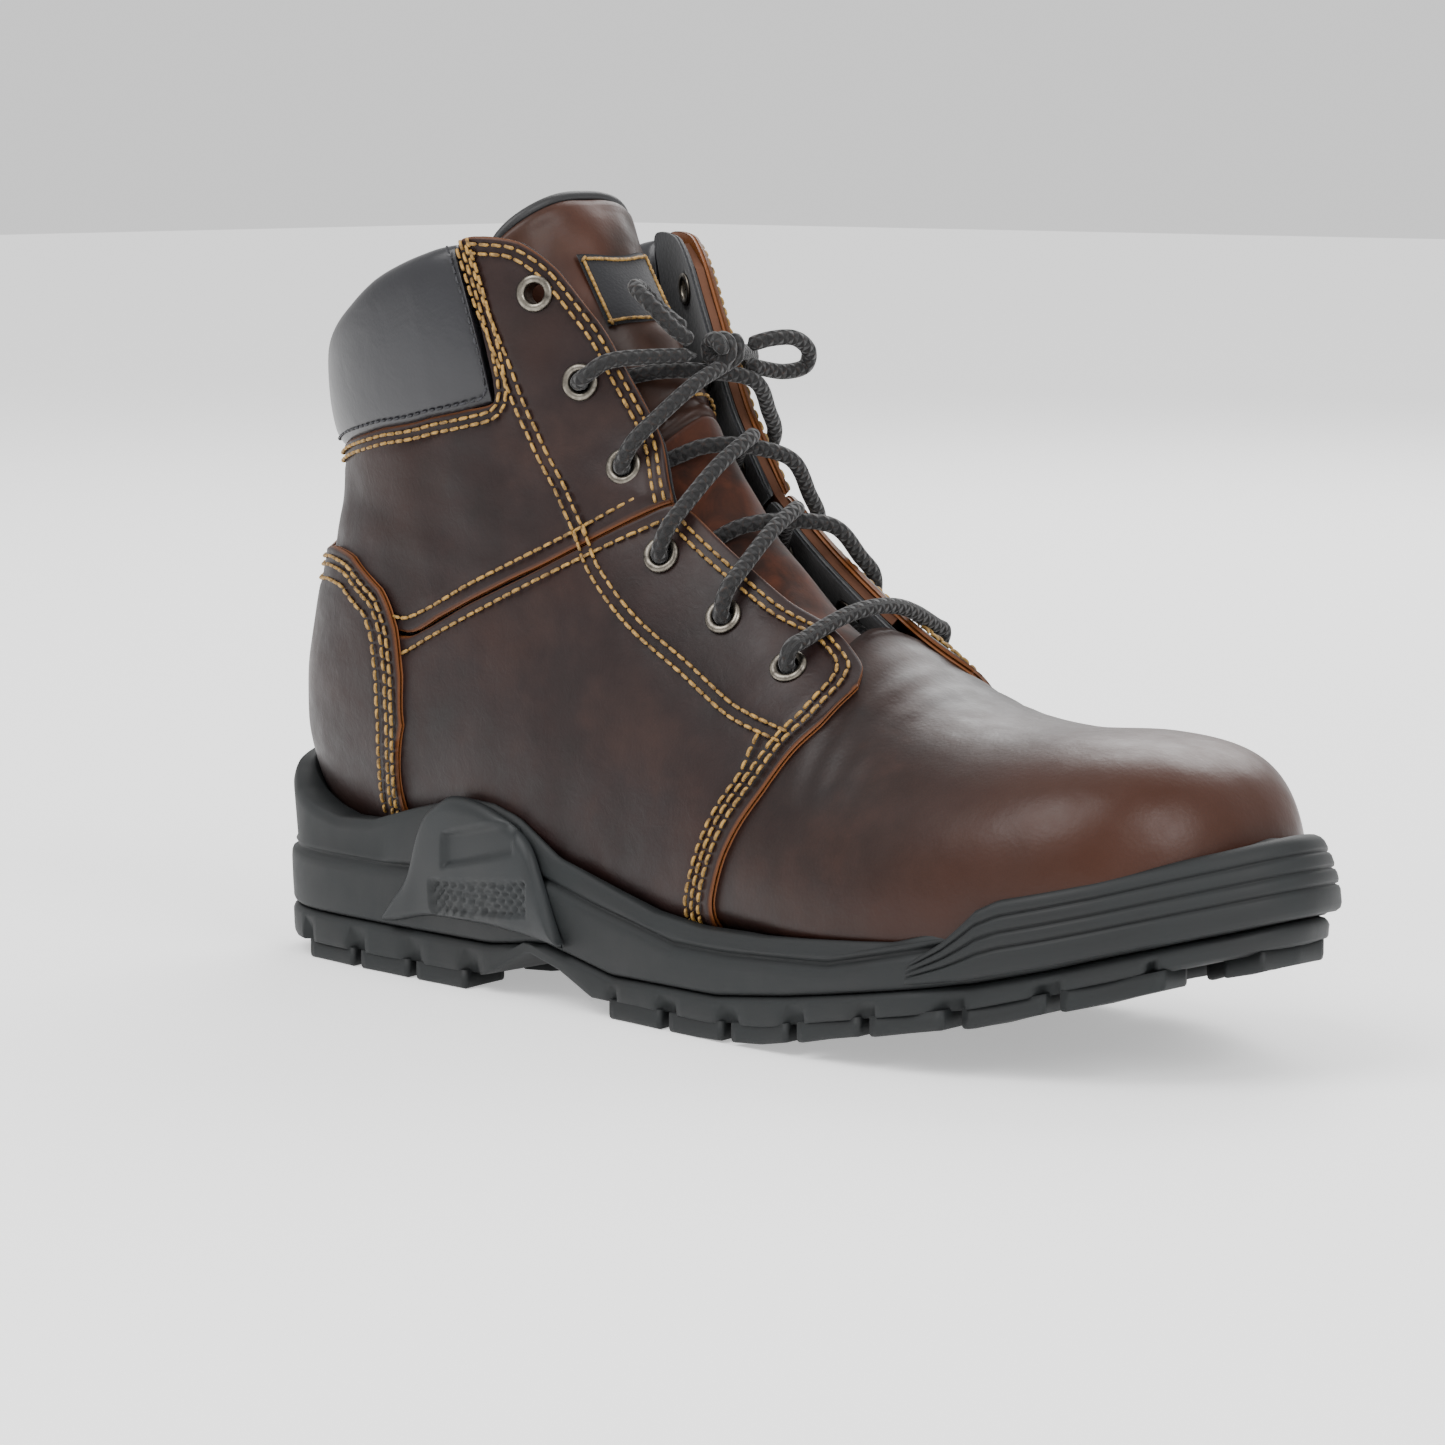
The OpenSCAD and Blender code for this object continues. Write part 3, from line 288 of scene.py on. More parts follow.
@dataclass(frozen=True)
class Finish:
    """Base of the finishes: a named principled surface."""

    name: str

    def material(self) -> bpy.types.Material:
        """The material, made once."""
        found = bpy.data.materials.get(self.name)
        if found:
            return found
        made = bpy.data.materials.new(self.name)
        made.use_nodes = True
        tree = made.node_tree
        tree.nodes.clear()
        shader = add(tree, "ShaderNodeBsdfPrincipled")
        output = add(tree, "ShaderNodeOutputMaterial")
        tree.links.new(shader.outputs[0], output.inputs[0])
        place = add(tree, "ShaderNodeTexCoord")
        self.dress(tree, shader, place)
        return made

    def dress(self, tree, shader, place) -> None:
        """Sets the shader up; each finish has its own."""
        raise NotImplementedError

    @staticmethod
    def bump(tree, shader, layers: Sequence[tuple]) -> None:
        """Chains bump layers, each (height socket, strength, depth in millimetres)."""
        normal = None
        for height, strength, depth in layers:
            inputs = {"Height": height, "Strength": strength, "Distance": depth * MM}
            if normal is not None:
                inputs["Normal"] = normal
            normal = add(tree, "ShaderNodeBump", inputs).outputs[0]
        tree.links.new(normal, shader.inputs["Normal"])


@dataclass(frozen=True)
class PullUpLeather(Finish):
    """Oiled full-grain leather: a soft broad sheen, cloudy colour and a fine pebbled grain."""

    dark: str
    mid: str
    light: str
    roughness: float = 0.46
    grain_mm: float = 0.9
    crease: float = 0.25
    warm: str = "#5a2f1e"
    warm_share: float = 0.35
    toe_share: float = 0.0

    def dress(self, tree, shader, place) -> None:
        obj = place.outputs["Object"]
        cloud = noise(tree, obj, 34, 3, 0.55, 0.4)
        mottle = noise(tree, obj, 7, 4, 0.6)
        blend = maths(tree, "ADD", maths(tree, "MULTIPLY", cloud, 0.72), maths(tree, "MULTIPLY", mottle, 0.28))
        colour = ramp(tree, blend, [(0.34, self.dark), (0.52, self.mid), (0.68, self.light)])
        patches = span(tree, noise(tree, obj, 55, 2, 0.5, 0.8), 0.5, 0.68, 0, self.warm_share)
        mixed = add(tree, "ShaderNodeMix", {0: patches, 6: colour, 7: linear(self.warm)}, data_type="RGBA")
        forward = add(tree, "ShaderNodeSeparateXYZ", {0: obj}).outputs[0]
        toe = maths(tree, "MULTIPLY", span(tree, forward, 55 * MM, 125 * MM), self.toe_share)
        toed = add(tree, "ShaderNodeMix", {0: toe, 6: mixed.outputs[2], 7: linear("#3a1d10")}, data_type="RGBA")
        worn = add(tree, "ShaderNodeAttribute", attribute_name="edge")
        final = add(tree, "ShaderNodeMix", {0: worn.outputs["Fac"], 6: toed.outputs[2], 7: linear("#6e3f1c")},
                    data_type="RGBA")
        tree.links.new(final.outputs[2], shader.inputs["Base Color"])
        rough = span(tree, mottle, 0.3, 0.7, self.roughness - 0.05, self.roughness + 0.07)
        tree.links.new(rough, shader.inputs["Roughness"])
        shader.inputs["Coat Weight"].default_value = 0.04
        shader.inputs["Coat Roughness"].default_value = 0.3
        shader.inputs["Specular IOR Level"].default_value = 0.24
        cells = add(tree, "ShaderNodeTexVoronoi", {"Vector": obj, "Scale": 1 / (self.grain_mm * MM)},
                    feature="SMOOTH_F1").outputs[0]
        folds = noise(tree, obj, 5, 5, 0.65, 1.2)
        waves = noise(tree, obj, 16, 2, 0.5)
        self.bump(tree, shader, [(waves, 0.5, 0.9), (folds, self.crease, 0.5), (cells, 0.3, 0.09)])


@dataclass(frozen=True)
class NappedLeather(Finish):
    """Brushed tongue leather: no gloss, a velvety rim light and streaky nap."""

    dark: str
    light: str

    def dress(self, tree, shader, place) -> None:
        obj = place.outputs["Object"]
        nap = noise(tree, obj, 9, 5, 0.62, 0.8)
        tree.links.new(ramp(tree, nap, [(0.33, self.dark), (0.68, self.light)]), shader.inputs["Base Color"])
        shader.inputs["Roughness"].default_value = 0.88
        shader.inputs["Sheen Weight"].default_value = 0.25
        shader.inputs["Sheen Roughness"].default_value = 0.5
        shader.inputs["Specular IOR Level"].default_value = 0.2
        self.bump(tree, shader, [(noise(tree, obj, 3, 4, 0.6), 0.25, 0.3), (noise(tree, obj, 0.5, 2), 0.25, 0.1)])


@dataclass(frozen=True)
class CoatedCloth(Finish):
    """Smooth coated cloth over foam: satin, nearly even colour, faint weave."""

    colour: str
    roughness: float = 0.42
    weave_mm: float = 0.8

    def dress(self, tree, shader, place) -> None:
        obj = place.outputs["Object"]
        shade = noise(tree, obj, 30, 2)
        base = linear(self.colour)
        tint = add(tree, "ShaderNodeMix", {0: shade, 6: tuple(0.85 * c for c in base[:3]) + (1,),
                                           7: tuple(1.2 * c for c in base[:3]) + (1,)}, data_type="RGBA")
        tree.links.new(tint.outputs[2], shader.inputs["Base Color"])
        shader.inputs["Roughness"].default_value = self.roughness
        cells = add(tree, "ShaderNodeTexVoronoi", {"Vector": obj, "Scale": 1 / (self.weave_mm * MM)}).outputs[0]
        self.bump(tree, shader, [(noise(tree, obj, 9, 3, 0.5, 0.6), 0.35, 0.5), (cells, 0.22, 0.06)])


@dataclass(frozen=True)
class Cloth(Finish):
    """Matt woven or knitted cloth."""

    colour: str
    weave_mm: float = 1.1

    def dress(self, tree, shader, place) -> None:
        obj = place.outputs["Object"]
        shader.inputs["Base Color"].default_value = linear(self.colour)
        shader.inputs["Roughness"].default_value = 0.9
        shader.inputs["Sheen Weight"].default_value = 0.2
        weave = add(tree, "ShaderNodeTexVoronoi", {"Vector": obj, "Scale": 1 / (self.weave_mm * MM)},
                    distance="CHEBYCHEV").outputs[0]
        self.bump(tree, shader, [(weave, 0.4, 0.2)])


@dataclass(frozen=True)
class MouldedRubber(Finish):
    """Matt moulded rubber with a dusty, slightly uneven sheen."""

    colour: str
    light: str
    roughness: float = 0.62

    def dress(self, tree, shader, place) -> None:
        obj = place.outputs["Object"]
        dust = noise(tree, obj, 22, 4, 0.6, 0.5)
        tree.links.new(ramp(tree, dust, [(0.3, self.colour), (0.75, self.light)]), shader.inputs["Base Color"])
        tree.links.new(span(tree, dust, 0.3, 0.7, self.roughness - 0.07, self.roughness + 0.08),
                       shader.inputs["Roughness"])
        shader.inputs["Specular IOR Level"].default_value = 0.4
        self.bump(tree, shader, [(noise(tree, obj, 0.45, 3, 0.6), 0.25, 0.08), (noise(tree, obj, 12, 2), 0.2, 0.3)])


@dataclass(frozen=True)
class Thread(Finish):
    """Waxed sewing thread, two tones along its twist."""

    dark: str
    light: str

    def dress(self, tree, shader, place) -> None:
        obj = place.outputs["Object"]
        twist = noise(tree, obj, 1.3, 3, 0.6)
        tree.links.new(ramp(tree, twist, [(0.35, self.dark), (0.62, self.light)]), shader.inputs["Base Color"])
        shader.inputs["Roughness"].default_value = 0.55
        self.bump(tree, shader, [(noise(tree, obj, 0.3, 2), 0.3, 0.06)])


@dataclass(frozen=True)
class BraidedCord(Finish):
    """Round braided lace: crossing plaits in relief with a fine brown fleck."""

    colour: str
    fleck: str

    def dress(self, tree, shader, place) -> None:
        uv = add(tree, "ShaderNodeSeparateXYZ", {0: place.outputs["UV"]})
        along = maths(tree, "MULTIPLY", uv.outputs[0], 2 * math.pi / 2.6)
        round_ = maths(tree, "MULTIPLY", uv.outputs[1], 2 * math.pi * 4)
        left = maths(tree, "SINE", maths(tree, "ADD", along, round_))
        right = maths(tree, "SINE", maths(tree, "SUBTRACT", along, round_))
        plait = maths(tree, "MAXIMUM", left, right)
        speck = noise(tree, place.outputs["Object"], 0.9, 3, 0.7)
        fine = maths(tree, "MULTIPLY", span(tree, speck, 0.52, 0.7), span(tree, plait, 0.2, 0.9))
        mix = add(tree, "ShaderNodeMix", {0: fine, 6: linear(self.colour), 7: linear(self.fleck)}, data_type="RGBA")
        tree.links.new(mix.outputs[2], shader.inputs["Base Color"])
        shader.inputs["Roughness"].default_value = 0.82
        shader.inputs["Sheen Weight"].default_value = 0.15
        self.bump(tree, shader, [(plait, 0.8, 0.35), (speck, 0.3, 0.1)])


@dataclass(frozen=True)
class AgedNickel(Finish):
    """Darkened nickel: bright on the rolled edge, dull in the hollows."""

    dark: str
    light: str

    def dress(self, tree, shader, place) -> None:
        obj = place.outputs["Object"]
        tarnish = noise(tree, obj, 2.4, 4, 0.6)
        tree.links.new(ramp(tree, tarnish, [(0.3, self.dark), (0.7, self.light)]), shader.inputs["Base Color"])
        shader.inputs["Metallic"].default_value = 1.0
        tree.links.new(span(tree, tarnish, 0.3, 0.7, 0.42, 0.26), shader.inputs["Roughness"])
        self.bump(tree, shader, [(tarnish, 0.15, 0.1)])


@dataclass(frozen=True)
class Plain(Finish):
    """Even finish with a fine tooth, for pieces hidden inside."""

    colour: str
    roughness: float = 0.7
    metallic: float = 0.0

    def dress(self, tree, shader, place) -> None:
        shader.inputs["Base Color"].default_value = linear(self.colour)
        shader.inputs["Roughness"].default_value = self.roughness
        shader.inputs["Metallic"].default_value = self.metallic
        self.bump(tree, shader, [(noise(tree, place.outputs["Object"], 2.0, 3), 0.2, 0.1)])


QUARTER_LEATHER = PullUpLeather("quarter_leather", "#150d0c", "#1f1211", "#2b1b17", warm="#2c150d")
VAMP_LEATHER = PullUpLeather("vamp_leather", "#150c0b", "#1f120f", "#2d1a14", roughness=0.38, crease=0.1,
                             warm="#2e140a", warm_share=0.4, toe_share=0.85)
TONGUE_LEATHER = PullUpLeather("tongue_leather", "#22140e", "#2e1b13", "#3c261b", roughness=0.42, crease=0.12)
TONGUE_NAP = NappedLeather("napped_leather", "#25120b", "#4a2515")
COLLAR_CLOTH = CoatedCloth("collar_cloth", "#1b1b1f", 0.34)
LINING_CLOTH = Cloth("dark_lining", "#111217")
TAN_LINING = Cloth("tan_lining", "#6d5c4a")
PIPING = CoatedCloth("black_piping", "#151517", 0.5, 0.5)
GUSSET_CLOTH = Cloth("gusset_cloth", "#16161a", 0.8)
PATCH_WEAVE = Cloth("patch_weave", "#141418", 0.7)
SOLE_RUBBER = MouldedRubber("sole_rubber", "#0d0f10", "#171b1c")
SADDLE_RUBBER = MouldedRubber("saddle_rubber", "#101314", "#1b1f21", 0.5)
GOLD_THREAD = Thread("gold_thread", "#5e451f", "#a88240")
BLACK_THREAD = Thread("black_thread", "#141417", "#2a2a30")
LACE_BRAID = BraidedCord("lace_braid", "#070607", "#28180f")
NICKEL = AgedNickel("aged_nickel", "#3f3b37", "#8f897e")
STEEL = Plain("bare_steel", "#8d9094", 0.4, 1.0)
BOARD = Plain("fibre_board", "#8a6a45")
FOAM = Cloth("footbed_cloth", "#2f2c2a", 1.6)
STIFFENER = Plain("stiffener", "#b9ad97")
STRIP = Plain("edge_strip", "#3c3a38")
RAW_EDGE = Plain("raw_leather", "#57321b", 0.8)


# ------------------------------------------------------------------ meshes
def make_mesh(name: str, points: Points, faces: Sequence[Sequence[int]], finish: Finish,
              uv: Optional[Points] = None, edge: Optional[Points] = None) -> bpy.types.Object:
    """A smooth shaded mesh object.

    Args:
        name: the piece's name.
        points: vertices in millimetres.
        faces: vertex numbers of each face.
        finish: what it is made of.
        uv: one (u, v) per vertex, or None.
        edge: one value per vertex that says how much raw edge shows, or None.

    Returns:
        The object, linked to the scene.
    """
    data = bpy.data.meshes.new(name)
    data.from_pydata((np.asarray(points, float) * MM).tolist(), [], [list(map(int, f)) for f in faces])
    data.validate(clean_customdata=False)
    data.polygons.foreach_set("use_smooth", [True] * len(data.polygons))
    if uv is not None:
        layer = data.uv_layers.new(name="run")
        loops = np.zeros(len(data.loops), int)
        data.loops.foreach_get("vertex_index", loops)
        layer.data.foreach_set("uv", np.asarray(uv, np.float32)[loops].ravel())
    if edge is not None:
        data.attributes.new("edge", "FLOAT", "POINT").data.foreach_set("value", np.asarray(edge, np.float32))
    obj = bpy.data.objects.new(name, data)
    bpy.context.scene.collection.objects.link(obj)
    data.materials.append(finish.material())
    return obj


def outward(obj: bpy.types.Object) -> bpy.types.Object:
    """Turns the faces of a closed mesh outwards."""
    data = obj.data
    data.calc_loop_triangles()
    co = np.zeros(len(data.vertices) * 3)
    data.vertices.foreach_get("co", co)
    co = co.reshape(-1, 3)
    tri = np.zeros(len(data.loop_triangles) * 3, int)
    data.loop_triangles.foreach_get("vertices", tri)
    a, b, c = (co[tri.reshape(-1, 3)[:, k]] for k in range(3))
    if np.einsum("ij,ij->i", a, np.cross(b, c)).sum() < 0:
        data.flip_normals()
    return obj


def quads(rows: int, cols: int, start: int = 0, wrap: bool = False) -> list[tuple[int, int, int, int]]:
    """Faces of a grid of points."""
    last = cols if wrap else cols - 1
    return [(start + i * cols + j, start + i * cols + (j + 1) % cols, start + (i + 1) * cols + (j + 1) % cols,
             start + (i + 1) * cols + j) for i in range(rows - 1) for j in range(last)]


def fine(guide: Sequence[Sequence[float]], per_span: int) -> Points:
    """Places on the last along a guide, smooth between its points."""
    sa = LAST.locate(guide)
    rows = np.vstack([2 * sa[0] - sa[1], sa, 2 * sa[-1] - sa[-2]])
    u = np.linspace(0, len(sa) - 1, (len(sa) - 1) * per_span + 1)
    straight = np.stack([np.interp(u, np.arange(len(sa)), sa[:, k]) for k in (0, 1)], -1)
    return 0.75 * spline(rows, u) + 0.25 * straight


def run_length(points: Points, axis: int) -> Points:
    """Distance along one axis of a grid of points."""
    steps = np.linalg.norm(np.diff(points, axis=axis), axis=-1)
    zero = np.zeros_like(np.take(steps, [0], axis=axis))
    return np.concatenate([zero, np.cumsum(steps, axis=axis)], axis=axis)


EDGE_STEPS = (0.0, 0.25, 0.7, 1.4)


def shares(length: float, count: int) -> Points:
    """Shares of the way across a panel, close together near both edges."""
    length = max(length, 7.0)
    near = np.array(EDGE_STEPS) / length
    return np.concatenate([near, np.linspace(near[-1], 1 - near[-1], count + 2)[1:-1], 1 - near[::-1]])


def panel_places(low: Points, high: Points, rows: int) -> Points:
    """Grid of places between two edges, one column for each pair of points."""
    grid = []
    for a, b in zip(low, high):
        length = float(np.linalg.norm(LAST.base(*a) - LAST.base(*b)))
        grid.append(a + (b - a) * shares(length, rows)[:, None])
    return np.array(grid)


class Groove:
    """Dents that stitching pulls into leather."""

    def __init__(self, lines: Sequence[Points]) -> None:
        pts = np.vstack([resample(p, 0.8) for p in lines]) if lines else np.zeros((0, 3))
        self.tree = KDTree(max(len(pts), 1))
        for i, p in enumerate(pts):
            self.tree.insert(p, i)
        self.tree.balance()
        self.any = len(pts) > 0

    def depth(self, points: Points, deep: float = 0.42, wide: float = 1.0) -> Points:
        """How far each point is pulled in, in millimetres."""
        if not self.any:
            return np.zeros(points.shape[:-1])
        flat = points.reshape(-1, 3)
        d = np.array([self.tree.find(p)[2] for p in flat]).reshape(points.shape[:-1])
        return deep * np.exp(-(d / wide) ** 2)


def resample(points: Points, step: float) -> Points:
    """A path with points step apart."""
    points = np.asarray(points, float)
    run = np.concatenate([[0], np.cumsum(np.linalg.norm(np.diff(points, axis=0), axis=1))])
    n = max(int(run[-1] / step), 2)
    t = np.linspace(0, run[-1], n + 1)
    return np.stack([np.interp(t, run, points[:, k]) for k in range(points.shape[1])], -1)


def unevenness(points: Points, seed: int, height: float, size: float) -> Points:
    """Slow swells, as hand lasted leather has."""
    rng = np.random.default_rng(seed)
    out = np.zeros(points.shape[:-1])
    for _ in range(7):
        k = rng.normal(size=3)
        k *= rng.uniform(0.6, 1.5) * 2 * math.pi / size / np.linalg.norm(k)
        out += np.sin(points @ k + rng.uniform(0, 6.28))
    return out * height / 3


def shell(name: str, places: Points, lo: float, hi: float, finish: Finish, *, groove: Optional[Groove] = None,
          swell: Optional[Callable[[Points], Points]] = None, raw_edge: float = 0.0, zip_toe: bool = False,
          open_edges: tuple[bool, bool, bool, bool] = (True, True, True, True)) -> bpy.types.Object:
    """A closed sheet of leather between two offsets of the last, with rolled edges.

    Args:
        name: the piece's name.
        places: grid of (section, angle).
        lo: inner offset in millimetres.
        hi: outer offset in millimetres.
        finish: what it is made of.
        groove: stitching that dents it.
        swell: extra height of the outer face at each point.
        raw_edge: how much of the raw cut shows on the rim, 0 to 1.
        zip_toe: closes the first row on itself, across the toe.
        open_edges: which borders are cut edges that show: first row, last row, first and last column.

    Returns:
        The object.
    """
    ni, nj = places.shape[:2]
    s, a = places[..., 0], places[..., 1]
    normal = LAST.normal(s, a)
    mid = LAST.base(s, a)
    along, across = run_length(mid, 0), run_length(mid, 1)
    far = np.full(s.shape, 99.0)
    if open_edges[0] and not zip_toe:
        far = np.minimum(far, along)
    if open_edges[1]:
        far = np.minimum(far, along[-1:, :] - along)
    if open_edges[2]:
        far = np.minimum(far, across)
    if open_edges[3]:
        far = np.minimum(far, across[:, -1:] - across)
    r = min(0.9, (hi - lo) * 0.55)
    drop = r - np.sqrt(np.maximum(r * r - np.clip(r - far, 0, r) ** 2, 0))
    top = hi - drop
    if swell is not None:
        top = top + swell(mid) * np.clip(far / 3, 0, 1)
    outer = mid + top[..., None] * normal
    if groove is not None:
        outer = outer - groove.depth(mid + hi * normal)[..., None] * normal
    inner = mid + lo * normal
    n = ni * nj
    faces = quads(ni, nj) + [tuple(n + k for k in reversed(f)) for f in quads(ni, nj)]
    loop = [i * nj for i in range(ni - 1)] + [(ni - 1) * nj + j for j in range(nj - 1)]
    loop += [i * nj + nj - 1 for i in range(ni - 1, 0, -1)]
    if zip_toe:
        half = (nj - 1) // 2
        cap = [(j + 1, j, nj - 1 - j, nj - 2 - j) for j in range(half - 1)] + [(half, half - 1, half + 1)]
        faces += cap + [tuple(n + k for k in reversed(f)) for f in cap]
        loop.append(nj - 1)
    else:
        loop += list(range(nj - 1, 0, -1))
    faces += [(b, a_, a_ + n, b + n) for a_, b in zip(loop, loop[1:] + loop[:1])]
    edge = np.concatenate([np.clip(1 - far.ravel() / 0.5, 0, 1) * raw_edge, np.full(n, raw_edge)])
    return outward(make_mesh(name, np.vstack([outer.reshape(-1, 3), inner.reshape(-1, 3)]), faces, finish, edge=edge))


def sweep(name: str, path: Points, radius: float, finish: Finish, sides: int = 14) -> bpy.types.Object:
    """A round tube along a path, closed with rounded ends, with (length, turn) as its UV."""
    path = np.asarray(path, float)
    tangent = unit(np.gradient(path, axis=0))
    u = np.array([0, 0, 1.0]) if abs(tangent[0][2]) < 0.9 else np.array([1.0, 0, 0])
    rings, uvs = [], []
    run = np.concatenate([[0], np.cumsum(np.linalg.norm(np.diff(path, axis=0), axis=1))])
    turns = np.arange(sides) / sides
    for i, (p, t) in enumerate(zip(path, tangent)):
        u = unit(u - (u @ t) * t)
        w = np.cross(t, u)
        ends = min(run[i], run[-1] - run[i])
        r = radius * math.sqrt(max(1 - (max(radius * 0.8 - ends, 0) / (radius * 0.8)) ** 2, 0.02))
        rings.append(p + r * (np.cos(2 * np.pi * turns)[:, None] * u + np.sin(2 * np.pi * turns)[:, None] * w))
        uvs.append(np.stack([np.full(sides, run[i]), turns], -1))
    k = len(path)
    caps = [tuple(reversed(range(sides))), tuple((k - 1) * sides + j for j in range(sides))]
    faces = quads(k, sides, wrap=True) + caps
    return outward(make_mesh(name, np.vstack(rings), faces, finish, uv=np.vstack(uvs)))


def show(obj: bpy.types.Object, body: str, slot: str, *nodes: str) -> bpy.types.Object:
    """Places a finished piece on its body, with the solids it stands for."""
    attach(obj, body)
    if nodes:
        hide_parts(*nodes)
    log.info("%s: %d faces", obj.name, len(obj.data.polygons))
    return obj


# ------------------------------------------------------------------ repeated pieces
class Repeater:
    """Geometry Nodes that repeat one small piece along lines or at points."""

    @staticmethod
    def tree(name: str, along: bool) -> bpy.types.NodeTree:
        """The node group: along lines when along is set, else at each point."""
        group = bpy.data.node_groups.get(name)
        if group:
            return group
        group = bpy.data.node_groups.new(name, "GeometryNodeTree")
        face = group.interface
        for label, kind, way in (("Geometry", "NodeSocketGeometry", "INPUT"), ("Piece", "NodeSocketObject", "INPUT"),
                                 ("Finish", "NodeSocketMaterial", "INPUT"), ("Step", "NodeSocketFloat", "INPUT"),
                                 ("Wander", "NodeSocketFloat", "INPUT"), ("Seed", "NodeSocketInt", "INPUT"),
                                 ("Geometry", "NodeSocketGeometry", "OUTPUT")):
            face.new_socket(label, in_out=way, socket_type=kind)
        entry = add(group, "NodeGroupInput").outputs
        source = entry["Geometry"]
        if along:
            curve = add(group, "GeometryNodeMeshToCurve", {0: source}).outputs[0]
            spaced = add(group, "GeometryNodeResampleCurve", {"Curve": curve, "Length": entry["Step"]}, mode="LENGTH")
            source = spaced.outputs[0]
            first = add(group, "GeometryNodeInputTangent").outputs[0]
        else:
            first = add(group, "GeometryNodeInputNamedAttribute", {"Name": "run"}, data_type="FLOAT_VECTOR").outputs[0]
        up = add(group, "GeometryNodeInputNamedAttribute", {"Name": "up"}, data_type="FLOAT_VECTOR").outputs[0]
        turn = add(group, "FunctionNodeAlignRotationToVector", {"Vector": first}, axis="X").outputs[0]
        turn = add(group, "FunctionNodeAlignRotationToVector", {"Rotation": turn, "Vector": up}, axis="Z",
                   pivot_axis="X").outputs[0]
        piece = add(group, "GeometryNodeObjectInfo", {"Object": entry["Piece"]}).outputs["Geometry"]
        low = add(group, "ShaderNodeMath", {0: 1.0, 1: entry["Wander"]}, operation="SUBTRACT").outputs[0]
        high = add(group, "ShaderNodeMath", {0: 1.0, 1: entry["Wander"]}, operation="ADD").outputs[0]
        size = add(group, "FunctionNodeRandomValue", {2: low, 3: high, "Seed": entry["Seed"]}, data_type="FLOAT")
        put = add(group, "GeometryNodeInstanceOnPoints", {"Points": source, "Instance": piece, "Rotation": turn,
                                                          "Scale": size.outputs[1]}).outputs[0]
        real = add(group, "GeometryNodeRealizeInstances", {0: put}).outputs[0]
        dressed = add(group, "GeometryNodeSetMaterial", {"Geometry": real, "Material": entry["Finish"]}).outputs[0]
        add(group, "NodeGroupOutput", {0: dressed})
        return group

    @classmethod
    def make(cls, name: str, lines: Sequence[tuple[Points, Points]], piece: bpy.types.Object, finish: Finish,
             step: float = 0.0, wander: float = 0.06, seed: int = 3) -> bpy.types.Object:
        """Repeats a piece and turns the result into a plain mesh.

        Args:
            name: the piece's name.
            lines: (points, upward directions) of each line in millimetres, or (point, up and run) rows.
            piece: what is repeated; it is removed afterwards.
            finish: what it is made of.
            step: distance between pieces along a line in millimetres, or 0 for one piece at each point.
            wander: how much the sizes differ.
            seed: seed of the differences.

        Returns:
            The object.
        """
        points = np.vstack([p for p, _ in lines])
        ups = np.vstack([u[:, :3] for _, u in lines])
        data = bpy.data.meshes.new(name)
        edges, start = [], 0
        for p, _ in lines:
            edges += [(start + i, start + i + 1) for i in range(len(p) - 1)] if step else []
            start += len(p)
        data.from_pydata((points * MM).tolist(), edges, [])
        data.attributes.new("up", "FLOAT_VECTOR", "POINT").data.foreach_set("vector", ups.ravel().astype(np.float32))
        if not step:
            runs = np.vstack([u[:, 3:] for _, u in lines]).ravel().astype(np.float32)
            data.attributes.new("run", "FLOAT_VECTOR", "POINT").data.foreach_set("vector", runs)
        obj = bpy.data.objects.new(name, data)
        bpy.context.scene.collection.objects.link(obj)
        group = cls.tree("along_lines" if step else "at_points", step > 0)
        mod = obj.modifiers.new("repeat", "NODES")
        mod.node_group = group
        values = {"Piece": piece, "Finish": finish.material(), "Step": step * MM, "Wander": wander, "Seed": seed}
        for item in group.interface.items_tree:
            if item.in_out == "INPUT" and item.name in values:
                mod[item.identifier] = values[item.name]
        bake(obj)
        bpy.data.objects.remove(piece)
        obj.data.polygons.foreach_set("use_smooth", [True] * len(obj.data.polygons))
        return obj


def bake(obj: bpy.types.Object) -> None:
    """Turns an object's modifiers into a plain mesh."""
    obj.update_tag()
    bpy.context.view_layer.update()
    graph = bpy.context.evaluated_depsgraph_get()
    fresh = bpy.data.meshes.new_from_object(obj.evaluated_get(graph))
    obj.modifiers.clear()
    old, obj.data = obj.data, fresh
    fresh.name = obj.name
    bpy.data.meshes.remove(old)


def seam(guide: Sequence[Sequence[float]], side: Side, off: float, shift: float = 0.0,
         step: float = 1.2) -> tuple[Points, Points]:
    """A line on the surface, given in side view.

    Args:
        guide: points of the line in side view.
        side: which side of the boot.
        off: height above the last.
        shift: how far it is moved to the left of its direction, seen from outside on the lateral side.
        step: distance between its points.

    Returns:
        Its points and the outward directions.
    """
    places = on_side(fine(guide, 6), side)
    pts = LAST.base(places[:, 0], places[:, 1])
    nrm = LAST.normal(places[:, 0], places[:, 1])
    tangent = unit(np.gradient(pts, axis=0))
    left = np.cross(nrm, tangent) * (1 if side is Side.LATERAL else -1)
    full = np.hstack([pts + off * nrm + shift * left, nrm])
    full = resample(full, step) if step else full
    return full[:, :3], unit(full[:, 3:])


@dataclass(frozen=True)
class Row:
    """One row of stitches: a guide in side view, how far beside it and the layer it lies on."""

    guide: tuple
    shift: float
    off: float


